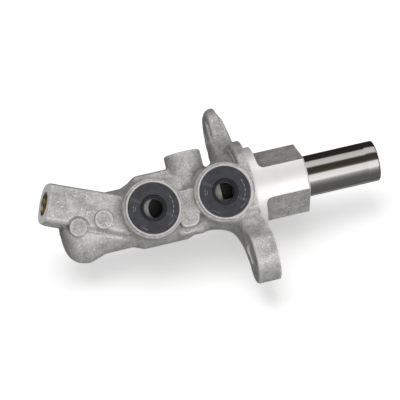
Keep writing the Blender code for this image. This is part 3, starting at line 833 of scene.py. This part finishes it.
def pocket_tool(label, x):
    floor, wide = POCKET_FLOOR, POCKET_R + 0.45
    profile = [(floor, 0), (floor, POCKET_R - 0.4), (floor + 0.4, POCKET_R),
               (BOSS_TOP - 0.35, POCKET_R), (BOSS_TOP + 0.1, wide),
               (BOSS_TOP + 3, wide), (BOSS_TOP + 3, 0)]
    tool = cutter(f"{label}_pocket_tool", spun(profile, 128), TURNED, placed((x, 0, 0), T_AXIS))
    for face in tool.data.polygons:               # the pocket's floor stays dull
        centre = TILT.inverted() @ face.center
        if centre.z < (floor + 0.6) * MM:
            face.material_index = FINISHES.index(CAST)
    return tool


def thread_tool(label, origin, direction):
    """Tapped hole with six thread grooves and a chamfered mouth."""
    pitch = 1.0
    floor, wide = -PORT_DEPTH, PORT_HOLE_R + 1.0
    profile = [(floor, 0), (floor, PORT_HOLE_R), (floor + 3.6, PORT_HOLE_R)]
    for i in range(6):
        start = floor + 3.9 + pitch * i
        profile += [(start, PORT_HOLE_R - 0.02), (start + pitch * 0.42, PORT_HOLE_R + 0.52),
                    (start + pitch * 0.58, PORT_HOLE_R + 0.52)]
    profile += [(-1.05, PORT_HOLE_R), (-0.9, PORT_HOLE_R + 0.15), (0.0, wide), (3, wide), (3, 0)]
    return cutter(f"{label}_thread_tool", spun(profile, 96), TAPPED, placed(origin, direction))


def stud_tool(label, side):
    """An ear's stud hole, with a chamfer at each face."""
    sink_r, mouth_r = EAR_HOLE_R + 0.5, EAR_HOLE_R + 0.7
    profile = [(-18, 0), (-18, sink_r), (-12.7, sink_r), (-12.2, EAR_HOLE_R),
               (-0.5, EAR_HOLE_R), (0.2, mouth_r), (3, mouth_r), (3, 0)]
    place = Matrix.Translation((0, side * EAR_PITCH * MM, 0))
    tool = cutter(f"{label}_stud_tool", spun(profile, 64), CAST,
                  Matrix.Rotation(EAR_TURN, 4, "X") @ place)
    for face in tool.data.polygons:               # front chamfer in the painted lit finish, the rest dull
        if face.center.x < -12.25 * MM:
            face.material_index = FINISHES.index(LIT_FACED)
    return tool


def facing_tools():
    return join("facing_tools", [
        # the outlet's face takes the painted lit finish
        drill("front_face_tool", radius=PORT_R + 3, start=0, stop=6, finish=LIT_FACED,
              matrix=placed(PORT_END, PORT_DIR), seg=96),
        drill("rear_spot_tool", radius=8.9, start=REAR_PORT_END - 0.5, stop=REAR_PORT_END + 4,
              finish=TURNED, matrix=placed((REAR_PORT_X, 0, REAR_PORT_T), U_AXIS), seg=96)])


def turning_tool():
    """Turns the spigot and faces the flange's rear, with a relief in the corner."""
    beyond, wide = SPIGOT_LEN + 14, 90
    profile = [(beyond, 0), (beyond, wide), (0, wide), (0, SPIGOT_R + 1.2),
               (-0.35, SPIGOT_R + 0.7), (-0.35, SPIGOT_R - 0.3), (0.9, SPIGOT_R),
               (SPIGOT_LEN - 0.9, SPIGOT_R), (SPIGOT_LEN, SPIGOT_R - 0.9), (SPIGOT_LEN, 0)]
    return cutter("turning_tool", spun(profile, 160), TURNED, TILT)


def rim_tool(label, x):
    """Skims the top of a reservoir boss."""
    profile = [(BOSS_TOP, 0), (BOSS_TOP, BOSS_R + 0.6), (BOSS_TOP + 0.4, BOSS_R + 1.0),
               (40, BOSS_R + 1.0), (40, 0)]
    return cutter(f"{label}_rim_tool", spun(profile, 128), RIM, placed((x, 0, 0), T_AXIS))


def boring_tools():
    cutters = [bore_tool()]
    cutters += [pocket_tool(label, x) for label, x in GROMMET_X.items()]
    cutters += [thread_tool(label, *outlet) for label, outlet in OUTLETS.items()]
    cutters += [stud_tool("near", -1), stud_tool("far", 1)]
    return join("boring_tools", cutters)


def drilling_tools():
    """Recess and feed in the front pocket, both outlets' drillings, rear pocket's slots."""
    above = POCKET_FLOOR + 1
    cutters = [
        # the recess's faces are painted near black as shade
        drill("front_recess_tool", radius=6.6, start=15.9, stop=above, finish=PAINTED_SHADE,
              matrix=placed((GROMMET_X["front"] + 4.6, 0, 0), T_AXIS), seg=64),
        drill("front_feed_tool", radius=2.0, start=10, stop=above, finish=TURNED,
              matrix=placed((-67, 0, 0), T_AXIS), seg=32),
        drill("front_drilling_tool", radius=1.5, start=-24, stop=-PORT_DEPTH + 1,
              finish=TAPPED, matrix=placed(PORT_END, PORT_DIR), seg=24),
        drill("rear_drilling_tool", radius=1.5, start=10, stop=REAR_PORT_END - PORT_DEPTH + 1,
              finish=TAPPED, matrix=placed((REAR_PORT_X, 0, REAR_PORT_T), U_AXIS), seg=24),
    ]
    slot_pitch, slot_width = 2.0, 1.55            # thin ribs stay between the slots
    for i in range(5):
        start = -3.4 + slot_pitch * i
        # the slots' faces are painted near black as shade
        cutters.append(box_tool(
            f"rear_slot_tool_{i + 1}", (GROMMET_X["rear"] - 0.4, start, 15.95),
            (GROMMET_X["rear"] + 6.2, start + slot_width, POCKET_FLOOR - 0.4)))
    return join("drilling_tools", cutters)


cast = linked("cylinder_casting", cast_mesh())
for finish in FINISHES:
    cast.data.materials.append(finish)
cut_with(cast, [
    facing_tools(),
    turning_tool(),
    *(rim_tool(label, x) for label, x in GROMMET_X.items()),
    boring_tools(),
    # the rear recess's faces are painted near black as shade
    box_tool("rear_recess_tool", (GROMMET_X["rear"] - 0.8, -3.8, POCKET_FLOOR - 0.7),
             (GROMMET_X["rear"] + 6.6, 6.6, POCKET_FLOOR + 1)),
    drilling_tools(),
    drill("rear_feed_tool", radius=2.6, start=10, stop=POCKET_FLOOR + 1, finish=TURNED,
          matrix=placed((-9.6, 0, 0), T_AXIS), seg=32),
], sharp=33)
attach(cast, "cylinder")
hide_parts("cylinder_body")

# ================================================================= pistons
SPRING_SEAT = -54.0                               # primary spring's, in the secondary piston
CUP_R = 9.2                                       # recesses in the pistons' ends
ROD_ROWS = [                                      # x, radius, corner radius
    (-5.0, 0, 0), (-5.0, CUP_R, 0.6), (-21.0, CUP_R, 0.2), (-21.0, SKIRT_R, 0.6),
    (5.7, SKIRT_R, 0.25), (5.7, ROD_R, 0.1),
    (69.7, ROD_R, 0), (69.85, ROD_R - 0.05, 0), (70.0, ROD_R - 0.05, 0), (70.15, ROD_R, 0),
    (PISTON_END, ROD_R, 1.0), (PISTON_END, 8.9, 0.3), (PISTON_END - 1.4, 8.0, 0.3),
    (-1.2, 8.0, 1.0), (-1.2, 4.0, 0.2), (0.0, 4.0, 0.3), (0.0, 0, 0),
]
SECONDARY_ROWS = [                                # x, radius, corner radius
    (-60.0, 0, 0), (-60.0, CUP_R, 0.8), (-78.0, CUP_R, 0.3), (-78.0, SKIRT_R, 0.8),
    (-40.0, SKIRT_R, 0.8), (-40.0, CUP_R, 0.3), (SPRING_SEAT, CUP_R, 0.8), (SPRING_SEAT, 0, 0),
]


def drill_piston(piston, drill_x, tap_start, tap_stop, material):
    """Two crossed radial drillings, and the screw's hole on the axis."""
    cutters = []
    for k in range(2):
        angle = math.radians(45 + 90 * k)
        matrix = placed((drill_x, 0, 0), (0, math.cos(angle), math.sin(angle)))
        cutters.append(drill(f"{piston.name}_drill_{k}", radius=0.9, start=-16, stop=16,
                             finish=CAST, matrix=matrix, seg=20))
    cutters.append(drill(f"{piston.name}_tap", radius=2.3, start=tap_start, stop=tap_stop,
                         finish=CAST, matrix=placed((0, 0, 0), (1, 0, 0)), seg=32))
    cut_with(piston, cutters, sharp=30)
    piston.data.materials.clear()
    piston.data.materials.append(material)


primary_piston = piece("primary_piston_ground", spun(rounded(ROD_ROWS), 160), (GROUND,),
                       "primary_piston")
secondary_piston = piece("secondary_piston_turned", spun(rounded(SECONDARY_ROWS), 128),
                         (ANODISED,), "secondary_piston")
drill_piston(primary_piston, drill_x=-12.3, tap_start=-6, tap_stop=-1.9, material=GROUND)
drill_piston(secondary_piston, drill_x=-69.4, tap_start=-61, tap_stop=-55.5, material=ANODISED)


# ==================================================== springs and hardware
def coil(name, start, stop, turns, body):
    """Closed end coils, ground a little flat; open coils between."""
    mean_r, wire_r = 7.1, 0.95
    per_turn, around = ((40, 16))
    steps = int(turns * per_turn)
    close_pitch = 2.35 * wire_r
    length = (stop - start) - 2 * wire_r
    open_pitch = (length - 2 * close_pitch) / (turns - 2)
    solid = bmesh.new()
    rings = []
    for i in range(steps + 1):
        turn = turns * i / steps
        if turn < 1:
            x = close_pitch * turn
        elif turn < turns - 1:
            x = close_pitch + open_pitch * (turn - 1)
        else:
            x = length - close_pitch * (turns - turn)
        angle = 2 * math.pi * turn
        out = Vector((0, math.cos(angle), math.sin(angle)))
        centre = Vector((start + wire_r + x, 0, 0)) + out * mean_r
        ring = []
        for j in range(around):
            angle = 2 * math.pi * j / around
            point = (centre + out * wire_r * math.cos(angle)
                     + Vector((wire_r * math.sin(angle), 0, 0)))
            point.x = min(max(point.x, start), stop)
            ring.append(solid.verts.new(point * MM))
        rings.append(ring)
    for near, far in zip(rings, rings[1:]):
        for j in range(around):
            k = (j + 1) % around
            solid.faces.new((near[j], near[k], far[k], far[j]))
    for ring in (rings[0], rings[-1]):
        solid.faces.new(ring)
    return piece(name, solid, (STEEL,), body, sharp=50)


primary_spring = coil("primary_spring_coil", start=-52.4, stop=-5.3, turns=8,
                      body="secondary_piston")
secondary_spring = coil("secondary_spring_coil", start=-103.4, stop=-60.3, turns=7.5,
                        body="cylinder")
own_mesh(primary_spring)
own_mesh(secondary_spring)


def sleeve(name, seat, end, body):
    """Drawn tube with a flange at the seat and a turned-in lip at its other end."""
    face, back = seat + 0.3, seat + 1.3
    rows = [(face, 3.0, 0.2), (face, 8.4, 0.35), (back, 8.4, 0.35), (back, 5.0, 0.5),
            (end, 5.0, 0.9), (end, 2.7, 0.3), (end - 1.0, 2.7, 0.3), (end - 1.0, 4.2, 0.2),
            (back, 4.2, 0.4), (back, 3.0, 0.2)]
    piece(name, spun(rounded(rows, 3), 72), (ZINC,), body)


sleeve("primary_spring_sleeve_drawn", SPRING_SEAT, -29.0, "secondary_piston")
sleeve("secondary_spring_sleeve_drawn", BORE_END, -79.0, "cylinder")


def screw(name, head, tip, body):
    """Pan head with a hexagon socket, plain shoulder, thread where it enters the piston."""
    shank_r, root_r, pitch, socket_r = 2.0, 1.75, 0.5, 1.45
    thread_start = tip - 3.4
    rows = [(head, 0, 0), (head, 3.7, 0.6), (head + 2.3, 3.7, 0.1), (head + 2.3, shank_r, 0.15),
            (thread_start, shank_r, 0)]
    for i in range(6):
        x = thread_start + 0.1 + pitch * i
        rows += [(x, root_r, 0), (x + pitch / 2, shank_r, 0)]
    rows += [(tip - 0.3, 1.9, 0), (tip, 1.5, 0), (tip, 0, 0)]
    obj = piece(name, spun(rounded(rows, 3), 48), (ZINC,), body, sharp=28)
    socket = bmesh.new()
    ends = [[], []]
    for i in range(6):
        angle = math.radians(60 * i)
        y, z = socket_r * math.cos(angle) * MM, socket_r * math.sin(angle) * MM
        for end, x in zip(ends, (head - 1, head + 1.3)):
            end.append(socket.verts.new((x * MM, y, z)))
    outer, inner = ends
    socket.faces.new(outer)
    socket.faces.new(inner[::-1])
    for i in range(6):
        j = (i + 1) % 6
        socket.faces.new((outer[i], inner[i], inner[j], outer[j]))
    cut_with(obj, [mesh_object(name + "_key", socket, (ZINC,))], sharp=28)


screw("primary_stroke_screw_cut", -33.5, -2.3, "primary_piston")
screw("secondary_stroke_screw_cut", -83.5, -55.9, "secondary_piston")


def cup(name, start, stop, inner, outer):
    """Lip seal: heel at the rear, two flared lips towards the nose."""
    tip, heel = start + GAP, stop - GAP
    middle = (inner + outer) / 2
    rows = [(heel, inner + 0.15, 0.3), (heel, outer - 0.15, 0.3), (heel - 1.6, outer - 0.12, 0.4),
            (tip + 0.5, outer, 0.2), (tip, outer - 0.12, 0.15), (tip, outer - 0.5, 0.15),
            (heel - 2.0, middle + 0.2, 0.25), (heel - 2.0, middle - 0.2, 0.25),
            (tip, inner + 0.5, 0.15), (tip, inner + 0.12, 0.15), (tip + 0.5, inner, 0.2),
            (heel - 1.6, inner + 0.1, 0.4)]
    piece(name, spun(rounded(rows, 2), 128), (SEAL,), "cylinder", sharp=40)


WASHER_END, MOUTH_SEAL_END = 7.8, 13.8            # stack in the mouth: washer, seal, bush
MOUTH_FIT_R = MOUTH_R - GAP
GUIDE_BORE_R = 12.25                              # of the washer and the bush
for label in ("secondary_pressure", "secondary_isolation", "primary_pressure"):
    cup(f"{label}_seal_lip", *GROOVES[label], SKIRT_R + RUNNING_GAP, SEAL_GROOVE_R - GAP)
cup("primary_isolation_seal_lip", WASHER_END, MOUTH_SEAL_END, ROD_R + RUNNING_GAP, MOUTH_FIT_R)


def ring(name, rows, material, slot, seg=128, angle=2 * math.pi):
    piece(name, spun(rounded(rows, 3), seg, angle), (material,), "cylinder")


def guide_bush():
    """Bush with three shallow rings round its outside."""
    rows = [(MOUTH_SEAL_END, GUIDE_BORE_R, 0.3), (MOUTH_SEAL_END, MOUTH_FIT_R, 0.4)]
    for x in (17.0, 21.0, 25.0):
        rows += [(x - 0.5, MOUTH_FIT_R, 0.1), (x - 0.3, MOUTH_FIT_R - 0.25, 0.1),
                 (x + 0.3, MOUTH_FIT_R - 0.25, 0.1), (x + 0.5, MOUTH_FIT_R, 0.1)]
    end = CLIP_START - GAP
    rows += [(end, MOUTH_FIT_R, 0.4), (end, GUIDE_BORE_R, 0.5)]
    ring("guide_bush_moulded", rows, NYLON, "nylon")


def retaining_ring():
    """Open spring ring in the clip groove."""
    start, stop, inner, outer = CLIP_START + GAP, CLIP_STOP - GAP, 13.2, CLIP_R - GAP
    rows = [(start, inner, 0.25), (start, outer, 0.25), (stop, outer, 0.25), (stop, inner, 0.25)]
    ring("retaining_ring_sprung", rows, STEEL, "spring_steel", seg=120, angle=math.radians(320))


ring("stop_washer_pressed",
     [(MOUTH_X + GAP, GUIDE_BORE_R, 0.15), (MOUTH_X + GAP, MOUTH_FIT_R, 0.4),
      (WASHER_END, MOUTH_FIT_R, 0.15), (WASHER_END, GUIDE_BORE_R, 0.2)], ZINC, "zinc_steel")
guide_bush()
retaining_ring()


def castellated(name, groove, base):
    """Ring with twelve teeth towards the nose, on a solid base at its rear."""
    teeth, steps, tooth_steps = 12, 12, 8
    front, back = groove[0] + GAP, groove[1] - GAP
    floor = back - base
    inner, outer = SKIRT_R + RUNNING_GAP, SEAL_GROOVE_R - GAP
    seg = teeth * steps
    solid = bmesh.new()
    made = {}

    def vert(x, radius, i):
        key = (x, radius, i % seg)
        if key not in made:
            angle = 2 * math.pi * (i % seg) / seg
            made[key] = solid.verts.new(
                (x * MM, radius * math.sin(angle) * MM, radius * math.cos(angle) * MM))
        return made[key]

    def face(*corners):
        solid.faces.new([vert(*corner) for corner in corners])

    tooth = [(i % steps) < tooth_steps for i in range(seg)]
    for i in range(seg):
        j = i + 1
        for radius in (inner, outer):             # walls, split at the slot floor
            levels = [back, floor] + ([front] if tooth[i] else [])
            for a, b in zip(levels, levels[1:]):
                face((a, radius, i), (a, radius, j), (b, radius, j), (b, radius, i))
        for x in (back, front if tooth[i] else floor):
            face((x, inner, i), (x, inner, j), (x, outer, j), (x, outer, i))
        if tooth[i] != tooth[i - 1]:              # the tooth's side
            face((front, inner, i), (floor, inner, i), (floor, outer, i), (front, outer, i))
    piece(name, solid, (NYLON,), "cylinder")


castellated("primary_guide_ring_moulded", GROOVES["primary_feed"], base=3.0)
castellated("secondary_guide_ring_moulded", GROOVES["secondary_feed"], base=1.5)

# ================================================ grommets and tube seats
GROMMET_TOP = BOSS_TOP + 0.6
LIP_EDGE_R = 7.6                                  # inside this the rubber is the lip's


def grommet(label, x):
    floor, top, wall, hole = POCKET_FLOOR, GROMMET_TOP, POCKET_R - GAP, 5.6
    rows = [                                      # place along T, radius, corner radius
        (floor + GAP, 6.4, 0.3), (floor + GAP, wall, 0.5),
        (floor + 3.2, wall, 0.1), (floor + 3.8, wall - 0.5, 0.1),
        (floor + 4.6, wall - 0.5, 0.1), (floor + 5.2, wall, 0.1),
        (top - 0.1, wall, 0.15), (top, wall - 0.55, 0.3),
        (top, 7.55, 0.15), (top - 0.4, 7.3, 0.15), (top - 0.25, 7.05, 0.15),
        (top + 0.9, 6.9, 0.35), (top + 0.9, 6.2, 0.35), (top - 0.2, hole, 0.5),
        (floor + 7.2, hole, 0.1), (floor + 6.7, 5.95, 0.1),
        (floor + 5.9, 5.95, 0.1), (floor + 5.4, hole, 0.1), (floor + 4, hole, 0.5),
    ]
    outline = rounded(rows)
    slots = [int(max(a[1], b[1]) < LIP_EDGE_R) for a, b in zip(outline, outline[1:] + outline[:1])]
    piece(f"{label}_grommet_moulded", spun(outline, 144, slots=slots), (RUBBER, LIP_RUBBER),
          "cylinder", sharp=38, matrix=placed((x, 0, 0), T_AXIS))


for label, x in GROMMET_X.items():
    grommet(label, x)

MARKS = (                                         # degrees from +X towards +U, radius, length, width
    (166, 11.6, 1.5, 0.6), (176, 11.6, 1.5, 0.6), (171, 10.4, 2.6, 0.5),
    (20, 11.4, 2.0, 0.75), (6, 11.4, 2.0, 0.75), (-8, 11.4, 2.0, 0.75), (-22, 11.4, 2.0, 0.75),
    (-36, 11.4, 1.4, 0.75), (-128, 12.9, 5.2, 0.4), (-52, 12.9, 5.2, 0.4),
)


def mould_mark(name, x, degrees, radius, length, width):
    """A low curved bar on a grommet's face, tapering at its ends."""
    height, sunk, seg = 0.26, -0.08, 10
    solid = bmesh.new()
    rows = []
    span = length / radius
    for i in range(seg + 1):
        angle = math.radians(degrees) + span * (i / seg - 0.5)
        taper = math.sin(math.pi * (i / seg)) ** 0.35 if 0 < i < seg else 0.35
        row = []
        for part, lift in ((-0.5, sunk), (-0.28, height * taper), (0.28, height * taper),
                           (0.5, sunk)):
            out = radius + part * width * taper
            row.append(solid.verts.new(Vector((x + out * math.cos(angle), out * math.sin(angle),
                                               GROMMET_TOP + lift)) * MM))
        rows.append(row)
    for near, far in zip(rows, rows[1:]):
        for k in range(4):
            m = (k + 1) % 4
            solid.faces.new((near[k], near[m], far[m], far[k]))
    solid.faces.new(rows[0])
    solid.faces.new(rows[-1])
    piece(name, solid, (MARK_RUBBER,), "cylinder", sharp=40, matrix=TILT,
          replaces=False)


for label, x in GROMMET_X.items():
    for i, mark in enumerate(MARKS):
        mould_mark(f"{label}_grommet_mark_{i + 1}", x, *mark)

SEAT_ROWS = [                                     # place along the outlet, radius, corner radius
    (-PORT_DEPTH + GAP, 1.6, 0.2), (-PORT_DEPTH + GAP, PORT_HOLE_R - GAP, 0.3),
    (-PORT_DEPTH + 2.2, PORT_HOLE_R - GAP, 0.6), (-PORT_DEPTH + 5.5, 2.4, 0.25),
    (-PORT_DEPTH + 5.5, 1.6, 0.25),
]
for label, outlet in OUTLETS.items():
    piece(f"{label}_tube_seat_turned", spun(rounded(SEAT_ROWS, 3), 72), (BRASS,), "cylinder",
          matrix=placed(*outlet))

# ================================================= floor, light and camera
scene = bpy.context.scene
FLOOR_Z = -29.4 * MM
FLOOR_GREY = (0.50, 0.50, 0.50)


def floor_material():
    """White to the camera, mid grey to the light it bounces; clear from below."""
    material = bpy.data.materials.new("studio_floor")
    material.use_nodes = True
    wiring = Wiring(material.node_tree)
    bsdf = wiring.tree.nodes["Principled BSDF"]
    wiring.feed(FLOOR_GREY, bsdf.inputs["Base Color"])
    wiring.feed(0.9, bsdf.inputs["Roughness"])
    wiring.feed(0.1, bsdf.inputs["Specular IOR Level"])
    wiring.feed((0.46, 0.46, 0.46), bsdf.inputs["Emission Color"])
    seen = wiring.new("ShaderNodeLightPath").outputs["Is Camera Ray"]
    wiring.feed(wiring.mix(seen, FLOOR_GREY, (1.0, 1.0, 1.0)), bsdf.inputs["Base Color"])
    wiring.feed(seen, bsdf.inputs["Emission Strength"])
    mixer = wiring.new("ShaderNodeMixShader")
    sources = (wiring.new("ShaderNodeNewGeometry").outputs["Backfacing"], bsdf.outputs[0],
               wiring.new("ShaderNodeBsdfTransparent").outputs[0])
    for source, socket in zip(sources, mixer.inputs):
        wiring.feed(source, socket)
    wiring.feed(mixer.outputs[0], wiring.tree.nodes["Material Output"].inputs["Surface"])
    return material


def make_floor():
    grid = bmesh.new()
    bmesh.ops.create_grid(grid, x_segments=8, y_segments=8, size=6.0)
    mesh = bpy.data.meshes.new("studio_floor")
    grid.to_mesh(mesh)
    grid.free()
    obj = linked("studio_floor", mesh)
    obj.location = (0, 0, FLOOR_Z)
    mesh.materials.append(floor_material())
    obj.visible_glossy = False
    return obj


floor = make_floor()

# Strip lights and dark cards seen by reflections: degrees about X from straight up
# towards -Y, colour.
STRIPS = [
    (-180, (0.10, 0.10, 0.098)), (-165, (0.22, 0.22, 0.215)), (-131, (0.20, 0.20, 0.20)),
    (-128, (0.020, 0.018, 0.016)), (-43, (0.020, 0.018, 0.016)), (-35, (0.50, 0.50, 0.485)),
    (-4, (0.58, 0.575, 0.56)), (4, (0.075, 0.065, 0.055)), (10, (0.040, 0.034, 0.028)),
    (36, (0.050, 0.044, 0.036)), (44, (0.14, 0.13, 0.12)), (50, (0.80, 0.78, 0.76)),
    (82, (0.90, 0.895, 0.90)), (91, (0.40, 0.40, 0.40)), (104, (0.20, 0.20, 0.198)),
    (124, (0.105, 0.105, 0.102)), (160, (0.095, 0.095, 0.091)),
]
END_FADE = {"From Min": 0.40, "From Max": 0.92, "To Min": 1.0, "To Max": 0.25}   # towards +-X


def make_world():
    """White to the camera, strips to reflections, even grey to everything else."""
    world = bpy.data.worlds.new("studio")
    scene.world = world
    world.use_nodes = True
    wiring = Wiring(world.node_tree)
    path = wiring.new("ShaderNodeLightPath")
    x, y, z = wiring.separate(wiring.new("ShaderNodeTexCoord").outputs["Generated"])
    angle = wiring.math("ARCTAN2", wiring.math("MULTIPLY", y, -1.0), z)
    bands = wiring.new("ShaderNodeValToRGB")
    elements = bands.color_ramp.elements
    while len(elements) < len(STRIPS):
        elements.new(0.5)
    for element, (degrees, colour) in zip(elements, STRIPS):
        element.position = (degrees + 180) / 360
        element.color = (*colour, 1)
    wiring.feed(wiring.math("MULTIPLY_ADD", angle, 1 / (2 * math.pi), 0.5), bands.inputs[0])
    ends = wiring.new("ShaderNodeMapRange", interpolation_type="SMOOTHSTEP")
    for key, value in END_FADE.items():
        ends.inputs[key].default_value = value
    wiring.feed(wiring.math("ABSOLUTE", x), ends.inputs["Value"])
    strips = wiring.scaled(bands.outputs[0], ends.outputs[0])
    light = wiring.mix(path.outputs["Is Glossy Ray"], (0.39, 0.39, 0.39), strips)
    shown = wiring.mix(path.outputs["Is Camera Ray"], light, (1.0, 1.0, 1.0))
    back = wiring.tree.nodes["Background"]
    wiring.feed(shown, back.inputs["Color"])
    back.inputs["Strength"].default_value = 1.0


make_world()


def softbox(name, place, size, power):
    """A square area light aimed at the origin and unseen in reflections; metres and watts."""
    light = bpy.data.lights.new(name, "AREA")
    light.shape = "RECTANGLE"
    light.size = size
    light.size_y = size
    light.energy = power
    obj = linked(name, light)
    obj.location = place
    obj.rotation_mode = "QUATERNION"
    obj.rotation_quaternion = (Vector((0, 0, 0)) - Vector(place)).to_track_quat("-Z", "Y")
    obj.visible_glossy = False
    return obj


softbox("overhead_softbox", place=(-0.15, 0.15, 1.2), size=1.1, power=6.0)
fill = softbox("front_fill", place=(0.25, -1.40, 0.60), size=0.8, power=21.5)
# the fill skips the floor, so that it throws no second shadow there
unlit = bpy.data.collections.new("floor_without_fill")
unlit.objects.link(floor)
unlit.collection_objects[0].light_linking.link_state = "EXCLUDE"
fill.light_linking.receiver_collection = unlit


def make_camera():
    azimuth, elevation = math.radians(-12.11), math.radians(40.02)   # azimuth from -Y
    roll = math.radians(-5.20)
    distance = 1.493                              # metres from the origin
    aim_left, aim_up = 0.018639535, -0.0039186047   # slopes of the aim off the origin
    toward = Vector((math.sin(azimuth) * math.cos(elevation),
                     -math.cos(azimuth) * math.cos(elevation), math.sin(elevation)))
    side = Vector((0, 0, 1)).cross(toward).normalized()
    above = toward.cross(side)
    rolled_side = math.cos(roll) * side + math.sin(roll) * above
    rolled_up = -math.sin(roll) * side + math.cos(roll) * above
    look = (-toward - rolled_side * aim_left + rolled_up * aim_up).normalized()
    right = look.cross(rolled_up).normalized()
    top = right.cross(look)
    camera = bpy.data.cameras.new("camera")
    camera.sensor_width = 36
    camera.lens = 232.2
    camera.clip_start, camera.clip_end = 0.01, 50
    obj = linked("camera", camera)
    rows = zip(right, top, -look, toward * distance)
    obj.matrix_world = Matrix((*rows, (0, 0, 0, 1)))
    scene.camera = obj


make_camera()
scene.view_settings.view_transform = "Standard"
scene.view_settings.look = "None"
scene.view_settings.exposure = 0.0
scene.view_settings.gamma = 1.0
